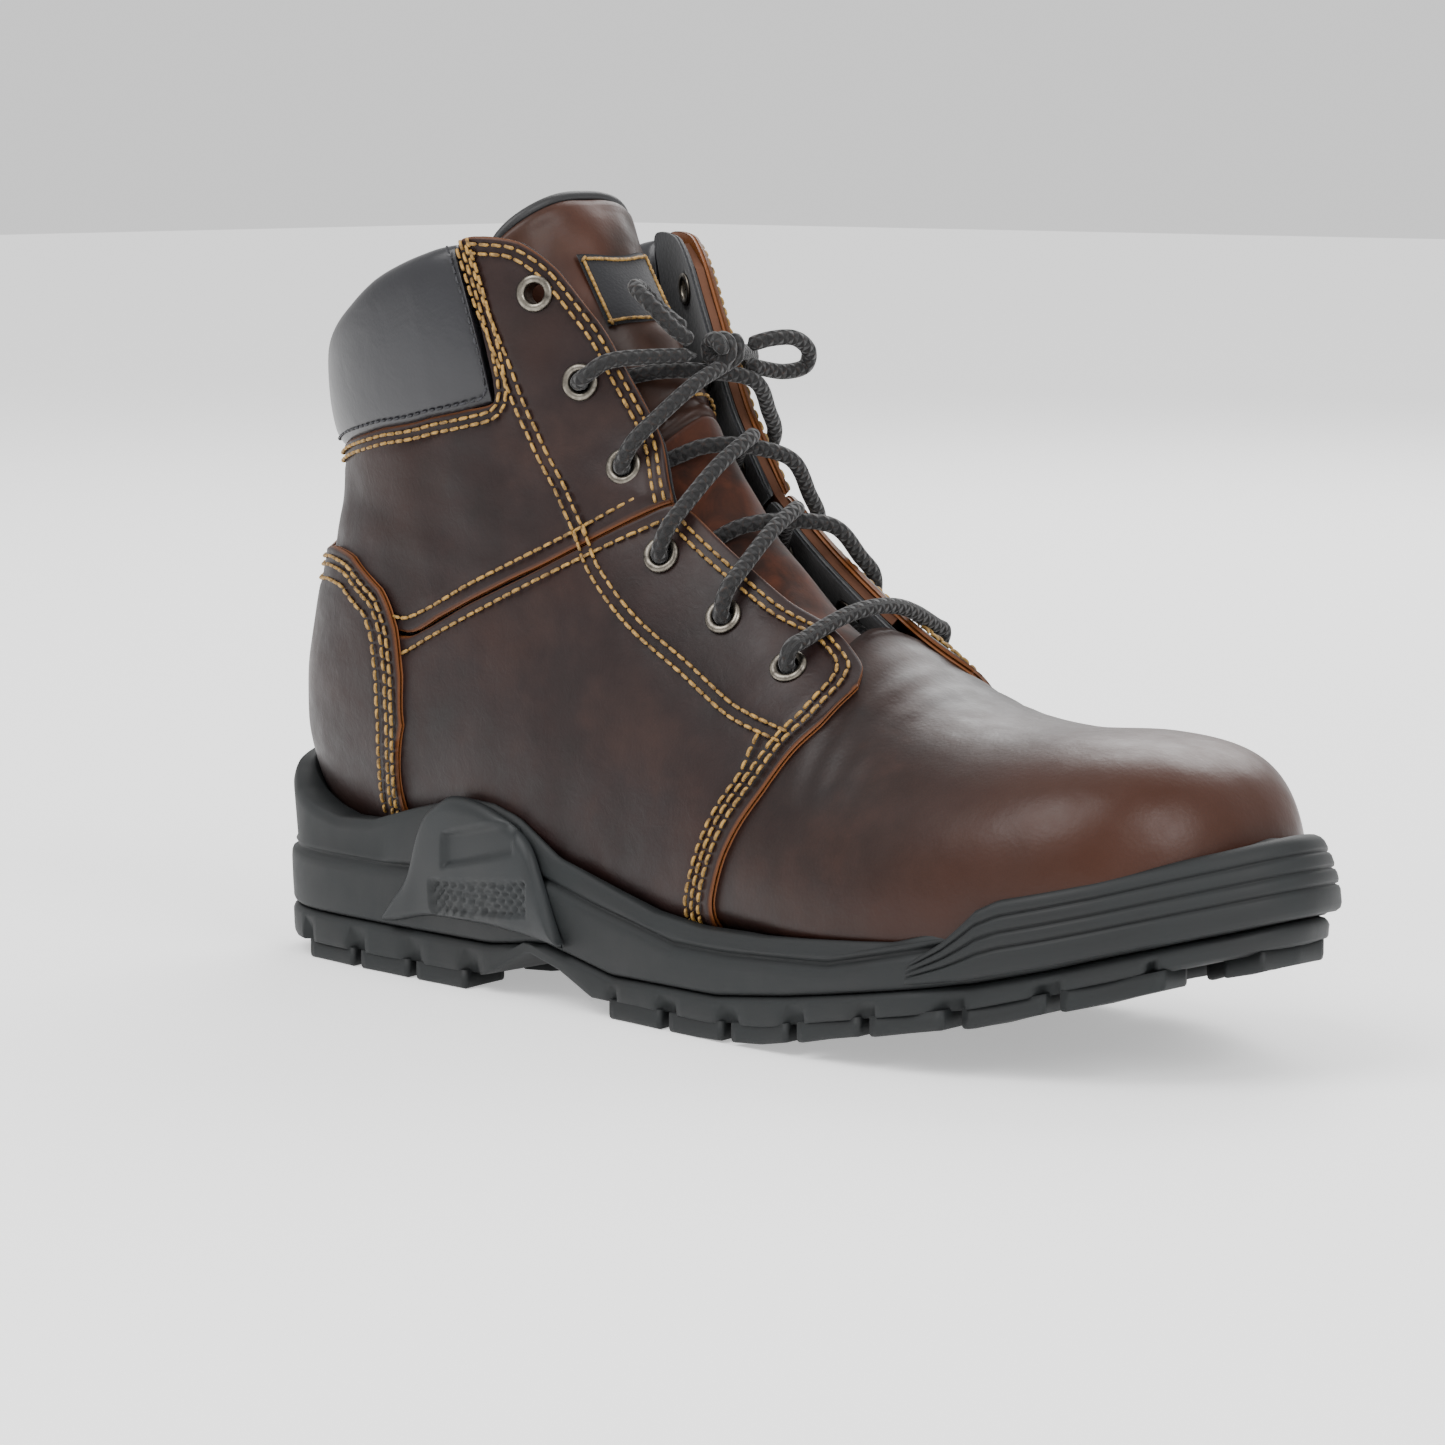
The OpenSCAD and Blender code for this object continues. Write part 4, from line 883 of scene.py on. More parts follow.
REAR_SEAM = ((-71.2, 177.2), (-67.4, 165.8), (-62.6, 154), (-59.1, 144.5), (-54, 134), (-46.8, 122.3),
             (-41.2, 114.2), (-38.6, 110.6))
REAR_SEAM_LOW = ((-38.6, 111.2), (-33.3, 103.1), (-19.4, 91.1), (-2.4, 81.9), (15.7, 73), (31.5, 68.8))
FACING_EDGE = ((-69, 180.8), (-59, 179.5), (-50.7, 173), (-41.8, 161.3), (-32, 145), (-24.8, 133.4), (-18.8, 120.5))
FACING_EDGE_LOW = ((-12.8, 116.2), (0, 106.6), (14.7, 97), (25, 91.7), (32, 87.3), (38, 83.2), (41, 78.7),
                   (39.8, 72), (36.4, 66.5), (31.8, 57.4), (25, 46.8), (20.3, 35), (17.6, 25))
BAND_UPPER = ((-150, 95.5), (-126, 93.2), (-108, 90.4), (-90.7, 87.3), (-70, 96.7), (-51.8, 104.8), (-39.4, 110.7),
              (-26.3, 118.2))
BAND_LOWER = ((-92, 79.8), (-90.6, 80.4), (-69.5, 90.2), (-50.7, 98.8), (-34.2, 106.6), (-22.4, 112.4), (-17.8, 114.8))
COVER_LINE = ((-152, 100.5), (-135, 102), (-123, 103), (-111.5, 101.5), (-100.3, 94.7), (-94.6, 85.5), (-92.6, 74),
              (-92.2, 62), (-93.5, 50), (-95.6, 40))
COLLAR_LINE = ((-73.2, 178.2), (-69.9, 168), (-67, 158), (-64.9, 148), (-65.2, 141.6), (-73.5, 139.2), (-86, 136.6),
               (-100.6, 134), (-116, 130.6), (-130, 127.5), (-154, 125))
FRONT_LINE = ((33.5, 66.4), (31.8, 57.4), (25, 46.8), (20.3, 35), (17.6, 25))


class Upper:
    """Leather outside: vamp, quarters, shaft panels and the heel cover, with their stitching."""

    def __init__(self, lacing: "Lacing") -> None:
        self.lacing = lacing
        top = QUARTER_OUT + 0.1
        self.quarter_rows = [Row(REAR_SEAM_LOW, 1.4, top), Row(REAR_SEAM_LOW, -1.4, top),
                             Row(FACING_EDGE_LOW, -3.4, top), Row(FACING_EDGE_LOW, -5.8, top),
                             Row(FRONT_LINE, -8.0, top),
                             Row(BAND_LOWER, 0, top)]
        self.shaft_rows = [Row(REAR_SEAM, 1.3, top), Row(REAR_SEAM, -1.3, top), Row(FACING_EDGE, -1.8, top),
                           Row(FACING_EDGE, -4.0, top), Row(BAND_UPPER, 0.9, top),
                           Row(COLLAR_LINE, 1.8, top), Row(COLLAR_LINE, 3.8, top)]
        self.cover_rows = [Row(COVER_LINE, -2.6, COVER_OUT + 0.1), Row(COVER_LINE, -4.7, COVER_OUT + 0.1),
                           Row(COVER_LINE, -8.2, COVER_OUT + 0.1)]

    @staticmethod
    def lines(rows: Sequence[Row], side: Side) -> list[tuple[Points, Points]]:
        """Stitch lines of one side."""
        return [seam(r.guide, side, r.off, r.shift) for r in rows]

    @staticmethod
    def swell(seed: int, height: float = 0.35, size: float = 42) -> Callable[[Points], Points]:
        """Slow unevenness of lasted leather."""
        return lambda p: unevenness(p, seed, height, size) + unevenness(p, seed + 9, height * 0.35, 13)

    def vamp(self) -> None:
        """The vamp, smooth over the toe cap, with flex creases behind it."""
        edge = LAST.locate(VAMP_REAR)
        order = np.argsort(edge[:, 1])
        angles = np.linspace(-42, 90, 64)
        angles = np.concatenate([angles, 180 - angles[-2::-1]])
        rear = np.interp(np.where(angles > 90, 180 - angles, angles), edge[order, 1], edge[order, 0])
        u = np.linspace(0, 1, 110)[:, None] ** 1.35
        places = np.stack([0.03 + (rear - 0.03) * u, np.broadcast_to(angles, (110, len(angles)))], -1)
        def swell(p: Points) -> Points:
            flex = np.exp(-((p[..., 0] - 45) / 14) ** 2) * np.clip((p[..., 2] - 45) / 25, 0, 1)
            waves = np.sin(p[..., 0] * 2 * math.pi / 7.5 + 0.6 * np.sin(p[..., 1] / 9) + p[..., 2] / 11)
            return unevenness(p, 4, 0.25, 46) + 0.22 * flex * waves

        obj = shell("vamp_leather_piece", places, VAMP_IN, 0, VAMP_LEATHER, swell=swell, zip_toe=True,
                    open_edges=(False, True, True, True))
        show(obj, BOOT, "leather_toe", "vamp")

    def sides(self) -> None:
        """Quarters and shaft panels of both sides."""
        low, high = fine(QUARTER_LOW, 9), fine(QUARTER_HIGH, 9)
        s_low, s_high = fine([(x, z - 0.6) for x, z in SHAFT_LOW], 8), fine(SHAFT_HIGH, 8)
        for edge in (low, high, s_low, s_high):
            edge[:, 1] = np.maximum(edge[:, 1], -89.6)
        for side in Side:
            word = side.name.lower()
            groove = Groove([p for p, _ in self.lines(self.quarter_rows, side)])
            obj = shell(f"quarter_{word}_leather", on_side(panel_places(low, high, 34), side), QUARTER_IN, QUARTER_OUT,
                        QUARTER_LEATHER, groove=groove, swell=self.swell(11 + side.value), raw_edge=1.0)
            self.lacing.pierce(obj, side)
            show(obj, BOOT, "leather_brown", f"quarter_{word}")
            groove = Groove([p for p, _ in self.lines(self.shaft_rows, side)])
            obj = shell(f"shaft_{word}_leather", on_side(panel_places(s_low, s_high, 30), side), QUARTER_IN,
                        QUARTER_OUT, QUARTER_LEATHER, groove=groove, swell=self.swell(21 + side.value, 0.5, 30),
                        raw_edge=1.0)
            self.lacing.pierce(obj, side)
            show(obj, BOOT, "leather_brown", f"shaft_{word}")

    def cover(self) -> None:
        """The heel cover, one piece round the back."""
        low, high = fine(COVER_LOW, 8), fine(COVER_HIGH, 8)
        half = panel_places(low, high, 30)
        back = half[:-1][::-1].copy()
        back[..., 1] = -180 - back[..., 1]
        lines = self.lines(self.cover_rows, Side.LATERAL) + self.lines(self.cover_rows, Side.MEDIAL)
        obj = shell("heel_cover_leather", np.concatenate([half, back]), COVER_IN, COVER_OUT, QUARTER_LEATHER,
                    groove=Groove([p for p, _ in lines]), swell=self.swell(31, 0.3), raw_edge=1.0)
        show(obj, BOOT, "leather_brown", "counter_cover")

    def stitches(self) -> None:
        """Gold thread over the leather."""
        lines = []
        for side in Side:
            lines += self.lines(self.quarter_rows + self.shaft_rows + self.cover_rows, side)
        obj = Repeater.make("upper_stitching", lines, stitch(2.5, 0.42), GOLD_THREAD, step=3.1)
        show(obj, BOOT, "leather_brown")

    def build(self) -> None:
        """Builds the pieces in order."""
        self.vamp()
        self.sides()
        self.cover()
        self.stitches()


def stitch(length: float, radius: float) -> bpy.types.Object:
    """One stitch lying along X, its ends sunk."""
    t = np.linspace(-1, 1, 9)
    path = np.stack([t * length / 2, 0 * t, 0.28 - 0.62 * t ** 4], -1)
    return sweep("stitch_source", path, radius, GOLD_THREAD, sides=8)


# ------------------------------------------------------------------ collar
@dataclass(frozen=True)
class CollarSizes:
    """Profile of the pad (share of the way up, share of the swell), its tuck and what is sewn down."""

    swell: float = 4.6
    tuck: float = 0.045
    sewn_swell: float = 0.55
    sewn_rise: float = 0.2
    profile: tuple = ((0, 0), (0.05, 0.45), (0.18, 0.8), (0.45, 1), (0.75, 0.95), (0.93, 0.7), (1, 0.15), (1, -0.9),
                      (0.93, -1.45), (0.7, -1.75), (0.4, -1.7), (0.12, -1.35), (0, -0.85))


class Collar:
    """Padded collar round the back of the topline: a cloth tube blown up over its foam."""

    sizes = CollarSizes()

    def rest(self) -> tuple[Points, list, Points]:
        """Rings of the unfilled tube, its faces and the points sewn down at its edges."""
        low, high = fine(COLLAR_LOW, 9), fine(COLLAR_HIGH, 9)
        both = np.stack([low, high], 1)
        back = both[:-1][::-1].copy()
        back[..., 1] = -180 - back[..., 1]
        both = np.concatenate([both, back])
        q = np.array(self.sizes.profile)
        ring = np.vstack([q[-1:], q, q[:2]])
        u = np.linspace(0, len(q), 37)[:-1]
        prof = spline(ring, u)
        n = len(both)
        taper = 0.55 + 0.45 * np.clip(np.minimum(np.arange(n), n - 1 - np.arange(n)) / 24, 0, 1)
        both[0] += both[0] - both[1]
        both[-1] += both[-1] - both[-2]
        rise = np.clip(prof[None, :, :1], -0.02, 1.01)
        places = both[:, None, 0] + (both[:, None, 1] - both[:, None, 0]) * (rise - self.sizes.tuck * (1 - rise))
        off = 0.2 + taper[:, None] * self.sizes.swell * prof[None, :, 1]
        pts = LAST.skin(places[..., 0], places[..., 1], off)
        k = len(prof)
        faces = quads(n, k, wrap=True) + [tuple(reversed(range(k))), tuple((n - 1) * k + j for j in range(k))]
        held = np.tile((prof[:, 1] < self.sizes.sewn_swell) | (prof[:, 0] < self.sizes.sewn_rise), n)
        held[:3 * k] = held[-3 * k:] = True
        return pts.reshape(-1, 3), faces, np.flatnonzero(held)

    def build(self) -> None:
        """Builds the pad and its thin edge stitching."""
        pts, faces, held = self.rest()
        obj = outward(make_mesh("collar_cushion", pts, faces, COLLAR_CLOTH))
        inflate(obj, held, 3.5, 1.0)
        refine(obj)
        show(obj, BOOT, "collar_black", "collar_pad")
        lines = []
        for side in Side:
            lines.append(seam(COLLAR_LINE, side, QUARTER_OUT + 0.9, -1.6))
        edge = Repeater.make("collar_stitching", lines, stitch(1.9, 0.3), BLACK_THREAD, step=2.5)
        show(edge, BOOT, "collar_black")


def inflate(obj: bpy.types.Object, held: Points, pressure: float, most: float) -> None:
    """Blows a closed cloth up a little, to within a given distance of where it was.

    Args:
        obj: the closed cloth.
        held: numbers of the points that are sewn down.
        pressure: air pressure inside it.
        most: furthest that a point may move, in millimetres.
    """
    scene = bpy.context.scene
    before = np.zeros(len(obj.data.vertices) * 3)
    obj.data.vertices.foreach_get("co", before)
    obj.vertex_groups.new(name="sewn").add([int(i) for i in held], 1.0, "REPLACE")
    mod = obj.modifiers.new("cloth", "CLOTH")
    mod.settings.vertex_group_mass = "sewn"
    mod.settings.quality = 6
    mod.settings.use_pressure = True
    mod.settings.uniform_pressure_force = pressure
    mod.settings.tension_stiffness = mod.settings.compression_stiffness = 12
    mod.settings.bending_stiffness = 0.4
    mod.settings.effector_weights.gravity = 0
    mod.point_cache.frame_start, mod.point_cache.frame_end = 1, 20
    for number in range(1, 21):
        scene.frame_set(number)
    bake(obj)
    scene.frame_set(1)
    after = np.zeros_like(before)
    obj.data.vertices.foreach_get("co", after)
    a, b = before.reshape(-1, 3), after.reshape(-1, 3)
    move = b - a
    size = np.linalg.norm(move, axis=1, keepdims=True)
    kept = a + move * np.minimum(1, most * MM / np.maximum(size, 1e-9))
    obj.data.vertices.foreach_set("co", kept.ravel())


def refine(obj: bpy.types.Object, levels: int = 1) -> None:
    """Subdivides a mesh smoothly."""
    mod = obj.modifiers.new("smooth", "SUBSURF")
    mod.levels = mod.render_levels = levels
    bake(obj)
    obj.data.polygons.foreach_set("use_smooth", [True] * len(obj.data.polygons))


# ------------------------------------------------------------------ tongue
@dataclass(frozen=True)
class TongueSizes:
    """Sizes of the tongue along the sections of the last."""

    lean: float = 15.0
    tie: float = 14.1
    start: float = 7.75
    suede_end: float = 11.95
    top: float = 18.5
    pad: float = 4.6


class Tongue:
    """Bellows tongue: brushed leather below, a padded smooth top, a bound edge and a woven patch."""

    sizes = TongueSizes()
    EDGE = ((7.6, 50), (9, 43), (12, 32), (14, 25), (16, 19), (17.5, 16), (18.6, 20))

    def off(self, s: Points, a: Points, extra: float) -> Points:
        """Offset of the tongue's surface from the last."""
        lean = np.clip((s - 12.5) / 6.9, 0, 1) ** 1.3 * np.maximum(np.sin(np.radians(a)), 0) ** 1.4
        return TONGUE_OUT - self.sizes.lean * lean + extra

    def grid(self, s0: float, s1: float, rows: int, cols: int, rounded: bool) -> Points:
        """Places of the tongue from s0 to s1."""
        u = np.concatenate([[0, 0.012, 0.03], np.linspace(0.05, 0.95, rows), [0.97, 0.988, 1]])[:, None]
        s = s0 + (s1 - s0) * u
        e = np.interp(s, *zip(*self.EDGE))
        v = np.concatenate([[0, 0.01, 0.03], np.linspace(0.05, 0.95, cols), [0.97, 0.99, 1]])[None, :]
        a = e + (180 - 2 * e) * v
        s = np.broadcast_to(s, a.shape)
        if rounded:
            s = s - 0.55 * np.clip((s - 14.2) / 4.3, 0, 1) ** 3 * (np.abs(a - 90) / 60) ** 2.4
        return np.stack([s, a], -1)

    def sheet(self, name: str, places: Points, lo: float, hi: float, finish: Finish, rim: float,
              swell: Optional[Callable] = None, groove: Optional[Groove] = None) -> bpy.types.Object:
        """A layer of the tongue."""
        s, a = places[..., 0], places[..., 1]
        base_off = self.off(s, a, 0)
        return soft_sheet(name, places, base_off + lo, base_off + hi, finish, rim, swell, groove)

    def tie_line(self) -> tuple[Points, Points]:
        """The arched seam between the two leathers."""
        a = np.linspace(38, 142, 40)
        s = 12.05 + 0.5 * np.sin(np.radians(a)) ** 3
        pts = LAST.skin(s, a, self.off(s, a, 0.15))
        return pts, LAST.normal(s, a)

    def build(self) -> None:
        """Builds the layers; the woven patch, its border and the edge piping go on the flap's body."""
        z = self.sizes

        def soft(p: Points) -> Points:
            return unevenness(p, 51, 0.8, 26) + unevenness(p, 52, 0.3, 11)

        low = self.sheet("tongue_lower_suede", self.grid(z.start, z.suede_end, 50, 50, False), -2.4, 0, TONGUE_NAP,
                         1.0, soft)
        show(low, BOOT, "suede_tongue", "tongue_lower")
        pad = self.sheet("tongue_padded_top", self.grid(11.97, z.top, 90, 56, True), -z.pad, 0, TONGUE_LEATHER, 2.2,
                         soft, Groove([self.tie_line()[0]]))
        self.middle(13.2)
        self.middle(15.2)
        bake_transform(pad)
        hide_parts("tongue_middle", "tongue_top")
        back = self.sheet("tongue_back_lining", self.grid(8.0, 18.4, 90, 40, True), -6, -4.75, LINING_CLOTH, 0.6)
        self.middle(13.2)
        self.middle(15.2)
        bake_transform(back)
        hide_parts("tongue_lining", "tongue_lining_fixed")
        seam_obj = Repeater.make("tongue_seam_stitching", [self.tie_line()], stitch(2.4, 0.4), GOLD_THREAD, step=3.1)
        show(seam_obj, BOOT, "leather_brown")
        self.patch()
        self.binding()
        self.folds()

    def middle(self, s: float) -> tuple[float, float, float]:
        """A point on the middle of the tongue, in metres."""
        p = LAST.skin(np.array(s), np.array(90.0), self.off(np.array(s), np.array(90.0), 0))
        return tuple(float(v) * MM for v in p)

    def patch(self) -> None:
        """Woven patch with an embroidered border and no lettering."""
        s = np.linspace(15.5, 17.25, 30)[:, None]
        a = np.linspace(56, 124, 36)[None, :]
        places = np.stack(np.broadcast_arrays(s, a), -1)
        obj = self.sheet("tongue_woven_patch", places, 0.3, 1.15, PATCH_WEAVE, 0.5)
        show(obj, FLAP, "patch_woven", "tongue_patch")
        corners = np.array([[15.62, 58.5], [17.13, 58.5], [17.13, 121.5], [15.62, 121.5], [15.62, 58.5]])
        t = np.linspace(0, 4, 161)
        path = np.stack([np.interp(t, range(5), corners[:, k]) for k in (0, 1)], -1)
        pts = LAST.skin(path[:, 0], path[:, 1], self.off(path[:, 0], path[:, 1], 1.25))
        line = (pts, LAST.normal(path[:, 0], path[:, 1]))
        edge = Repeater.make("patch_border", [line], stitch(1.7, 0.42), GOLD_THREAD, step=1.45)
        show(edge, FLAP, "patch_woven")

    def binding(self) -> None:
        """Piping round the free edge."""
        grid = self.grid(self.sizes.tie + 0.1, self.sizes.top, 40, 40, True)
        n = grid.shape[0]
        left, top, right = grid[:, 0], grid[-1], grid[::-1, -1]
        path = np.vstack([left + [0, -1.2], top[3:-3] + [0.16, 0], right + [0, 1.2]])
        path = path[np.concatenate([[True], np.linalg.norm(np.diff(path, axis=0), axis=1) > 1e-6])]
        pts = LAST.skin(path[:, 0] - 0.1, path[:, 1], self.off(path[:, 0], path[:, 1], -1.5))
        keep = resample(pts, 2.0)
        kernel = np.array([0.2, 0.6, 0.2])
        for _ in range(8):
            keep[1:-1] = kernel[0] * keep[:-2] + kernel[1] * keep[1:-1] + kernel[2] * keep[2:]
        log.info("binding of %d rows", n)
        show(sweep("tongue_edge_piping", keep, 1.35, PIPING, 12), FLAP, "piping_black", "tongue_binding")

    def folds(self) -> None:
        """Thin folds between the tongue and the lining."""
        for side in Side:
            s = np.linspace(8.6, 13.5, 50)[:, None]
            e = np.interp(s, *zip(*self.EDGE))
            a = e - 3 - 15 * np.linspace(0, 1, 16)[None, :]
            places = np.stack(np.broadcast_arrays(s, a), -1)
            word = side.name.lower()
            obj = shell(f"gusset_{word}_fold", on_side(places, side), TONGUE_OUT + 1.2, TONGUE_OUT + 2, GUSSET_CLOTH)
            show(obj, BOOT, "gusset_black", f"gusset_{word}")


def soft_sheet(name: str, places: Points, lo: Points, hi: Points, finish: Finish, rim: float,
               swell: Optional[Callable] = None, groove: Optional[Groove] = None) -> bpy.types.Object:
    """A closed sheet whose offsets change from place to place and whose rim is rounded by rim millimetres."""
    ni, nj = places.shape[:2]
    s, a = places[..., 0], places[..., 1]
    normal, mid = LAST.normal(s, a), LAST.skin(s, a, hi)
    along, across = run_length(mid, 0), run_length(mid, 1)
    far = np.minimum.reduce([along, along[-1:, :] - along, across, across[:, -1:] - across])
    drop = rim - np.sqrt(np.maximum(rim * rim - np.clip(rim - far, 0, rim) ** 2, 0))
    top = hi - drop
    if swell is not None:
        top = top + swell(mid) * np.clip(far / 5, 0, 1)
    outer = LAST.skin(s, a, top)
    if groove is not None:
        outer = outer - groove.depth(mid, 1.3, 2.2)[..., None] * normal
    inner = LAST.skin(s, a, lo)
    n = ni * nj
    loop = [i * nj for i in range(ni - 1)] + [(ni - 1) * nj + j for j in range(nj - 1)]
    loop += [i * nj + nj - 1 for i in range(ni - 1, 0, -1)] + list(range(nj - 1, 0, -1))
    faces = quads(ni, nj) + [tuple(n + k for k in reversed(f)) for f in quads(ni, nj)]
    faces += [(b, a_, a_ + n, b + n) for a_, b in zip(loop, loop[1:] + loop[:1])]
    return outward(make_mesh(name, np.vstack([outer.reshape(-1, 3), inner.reshape(-1, 3)]), faces, finish))


# ------------------------------------------------------------------ eyelets and lace
@dataclass(frozen=True)
class LaceSizes:
    """Sizes of the lace, its eyelets and its knot, in millimetres."""

    width: float = LACE_D
    hole: float = 4.8
    flange: float = 9.0
    knot: float = 5.2


class Lacing:
    """Eyelets, the laced cord, its knot and the bow."""

    sizes = LaceSizes()
    KNOT = np.array([-21.0, 0.0, 154.0])
    LOOP_UP = ((-24, -7, 156), (-26, -12, 160), (-30, -16, 166), (-35, -15, 169), (-37, -10, 168),
               (-35, -6.5, 163.5), (-31, -5.5, 160.5), (-28.6, -4.4, 158.8))
    LOOP_DOWN = ((-20, 8, 155), (-17, 13, 156.5), (-15, 19, 156.5), (-15, 24, 153.5), (-17, 25, 149.5),
                 (-19, 20, 148.3), (-20.5, 14, 149.2), (-21, 9.2, 150.4))

    def __init__(self) -> None:
        self.places = LAST.locate(EYELETS)

    def eye(self, k: int, side: int) -> Points:
        """Place of eyelet k, counted from the top; side is -1 lateral or 1 medial."""
        s, a = self.places[k]
        return np.array([s, a if side < 0 else 180 - a])

    @staticmethod
    def at(place: Points, off: float) -> Points:
        """A point above a place."""
        return LAST.skin(np.array(place[0]), np.array(place[1]), np.array(off))

    def pierce(self, obj: bpy.types.Object, side: Side) -> None:
        """Cuts the eyelet holes through a sheet."""
        r = self.sizes.hole / 2 + 0.5
        cutters = []
        for k in range(6):
            place = self.eye(k, side.value)
            n = LAST.normal(*place)
            path = self.at(place, 0) + np.linspace(-8, 8, 5)[:, None] * n
            cutters.append(sweep(f"cutter_{k}", path, r, NICKEL, 20))
        for cutter in cutters:
            mod = obj.modifiers.new("hole", "BOOLEAN")
            mod.operation, mod.solver, mod.object = "DIFFERENCE", "EXACT", cutter
        bake(obj)
        for cutter in cutters:
            bpy.data.objects.remove(cutter)

    def eyelets(self) -> None:
        """Twelve rolled rings."""
        z = self.sizes
        r0, flange = z.hole / 2, z.flange / 2
        t = np.linspace(0, math.pi, 9)
        mid, half = (r0 + flange) / 2, (flange - r0) / 2
        ring = [(mid + half * math.cos(v), QUARTER_OUT + 0.1 + 1.0 * math.sin(v) ** 0.8) for v in t]
        profile = ring + [(r0, -4.0), (r0 + 0.2, -4.6), (r0 + 1.5, -4.6), (r0 + 1.5, -4.0), (r0 + 0.5, -3.8),
                          (r0 + 0.5, QUARTER_OUT + 0.1)]
        turns = np.arange(32) * 2 * math.pi / 32
        pts = np.array([[r * math.cos(t_), r * math.sin(t_), h] for t_ in turns for r, h in profile])
        k = len(profile)
        faces = [(i * k + j, i * k + (j + 1) % k, ((i + 1) % 32) * k + (j + 1) % k, ((i + 1) % 32) * k + j)
                 for i in range(32) for j in range(k)]
        source = outward(make_mesh("eyelet_source", pts, faces, NICKEL))
        rows = []
        for side in (-1, 1):
            for i in range(6):
                place = self.eye(i, side)
                n = LAST.normal(*place)
                run = unit(np.cross(n, [0.3, 1.0, 0.2]))
                rows.append((LAST.base(*place)[None], np.concatenate([n, run])[None]))
        obj = Repeater.make("eyelet_rings", rows, source, NICKEL, wander=0.0)
        show(obj, BOOT, "eyelet_nickel", "eyelets")

    def hop(self, k: int, side: int, mid: float) -> list:
        """From one eyelet over the tongue and back under the other facing."""
        a, b = self.eye(k, side), self.eye(k - 1, -side)
        ways = ((0.06, OVER + 1.7), (0.14, OVER + 0.5), (0.3, OVER - 0.6), (0.5, mid), (0.7, UNDER + 1.6),
                (0.84, UNDER), (0.94, UNDER))
        return [self.at(a + (b - a) * w, o) for w, o in ways]

    def rise(self, k: int, side: int, start: bool) -> list:
        """Up through an eyelet."""
        offs = (UNDER + 2.4, 0, EYE_TOP + 0.6) if start else (UNDER + 2.4, -1, 1, EYE_TOP + 0.6)
        return [self.at(self.eye(k, side), o) for o in offs]

    def strand(self, side: int, mid: float) -> list:
        """One half of the lace from the bar at the bottom to the knot."""
        e, b = self.eye(5, side), self.eye(4, side)
        bar = [self.at([e[0], 90 + (e[1] - 90) * w], o)
               for w, o in ((0.92, OVER + 1.9), (0.8, OVER + 0.8), (0.5, OVER - 0.4), (0.25, OVER - 0.7))]
        inside = [self.at(e + (b - e) * t, UNDER) for t in (0.12, 0.35, 0.65, 0.88)]
        return (bar[::-1] + self.rise(5, side, True)[::-1] + inside + self.rise(4, side, True) + self.hop(4, side, mid)
                + self.rise(3, -side, False) + self.hop(3, -side, -mid + 0.4) + self.rise(2, side, False)
                + self.hop(2, side, mid) + self.rise(1, -side, False))

    def to_knot(self, side: int) -> list:
        """From the second eyelet to the knot."""
        e = self.eye(1, side)
        return [self.at([e[0], 90 + (e[1] - 90) * (1 - w)], o) for w, o in ((0.08, OVER + 1.7), (0.25, OVER + 0.8))]

    def knot_end(self, side: int) -> Points:
        """Where the lace meets the knot."""
        return self.KNOT + [-2, side * (self.sizes.knot + 1.2), -1.0]

    def route(self) -> Points:
        """The whole lace."""
        even = 1.2
        path = [self.knot_end(1)] + self.to_knot(1)[::-1] + self.strand(-1, even + 1)[::-1]
        path += [self.at([self.eye(5, -1)[0], 90], OVER - 0.8)] + self.strand(1, even - 3.2) + self.to_knot(-1)
        return np.array(path + [self.knot_end(-1)])

    def build(self) -> None:
        """Builds the eyelets and the lace."""
        self.eyelets()
        path = smooth_path(self.route(), 7)
        show(sweep("lace_cord_run", path, self.sizes.width / 2, LACE_BRAID, 16), BOOT, "lace_cord", "lace")
        self.knot()
        for name, node, way in (("bow_loop_upper", "bow_loop_up", self.LOOP_UP),
                                ("bow_loop_lower", "bow_loop_down", self.LOOP_DOWN)):
            path = smooth_path(np.array(way, float), 7)
            obj = sweep(name, path, self.sizes.width / 2, LACE_BRAID, 16)
            show(obj, BOOT, "lace_cord", node)

    def knot(self) -> None:
        """The wrap at the middle of the bow."""
        t = np.linspace(-1, 1, 60)
        turn = t * 2 * math.pi * 1.15 + 0.6
        r = 2.75
        path = self.KNOT + np.stack([r * np.cos(turn), 3.2 * t, r * np.sin(turn)], -1)
        show(sweep("lace_knot_wrap", path, self.sizes.width / 2, LACE_BRAID, 16), BOOT, "lace_cord", "lace_knot")


def smooth_path(points: Points, per_span: int) -> Points:
    """A smooth curve through points."""
    rows = np.vstack([2 * points[0] - points[1], points, 2 * points[-1] - points[-2]])
    return spline(rows, np.linspace(0, len(points) - 1, (len(points) - 1) * per_span + 1))


# ------------------------------------------------------------------ sole
SOLE = np.array([[-155, 0, 0], [-153, 14, 14], [-147, 25, 25], [-132, 34, 33.5], [-105, 38, 37.5], [-75, 40.5, 39.5],
                 [-40, 43, 40.5], [-10, 46.5, 42.5], [20, 50.5, 47], [50, 53.5, 50.5], [75, 54, 52], [100, 50, 50],
                 [120, 43, 43.5], [135, 32.5, 33], [145, 22, 23], [152, 12, 12.5], [155, 0, 0]], float)
GROUND = ((-155, 3), (-148, 1), (-140, 0), (-62, 0), (-46, 8), (-34, 5), (-22, 0), (20, 0), (40, 1.5), (60, 5.5),
          (80, 9), (98, 12), (115, 16.5), (130, 20.5), (140, 23.5), (155, 27))
LOW_GROOVE = ((-155, 12), (-60, 12), (-40, 14.5), (-15, 10), (23, 10.5), (47, 13.5), (76, 18), (98, 21.5),
              (115, 25.5), (130, 29.5), (155, 36))
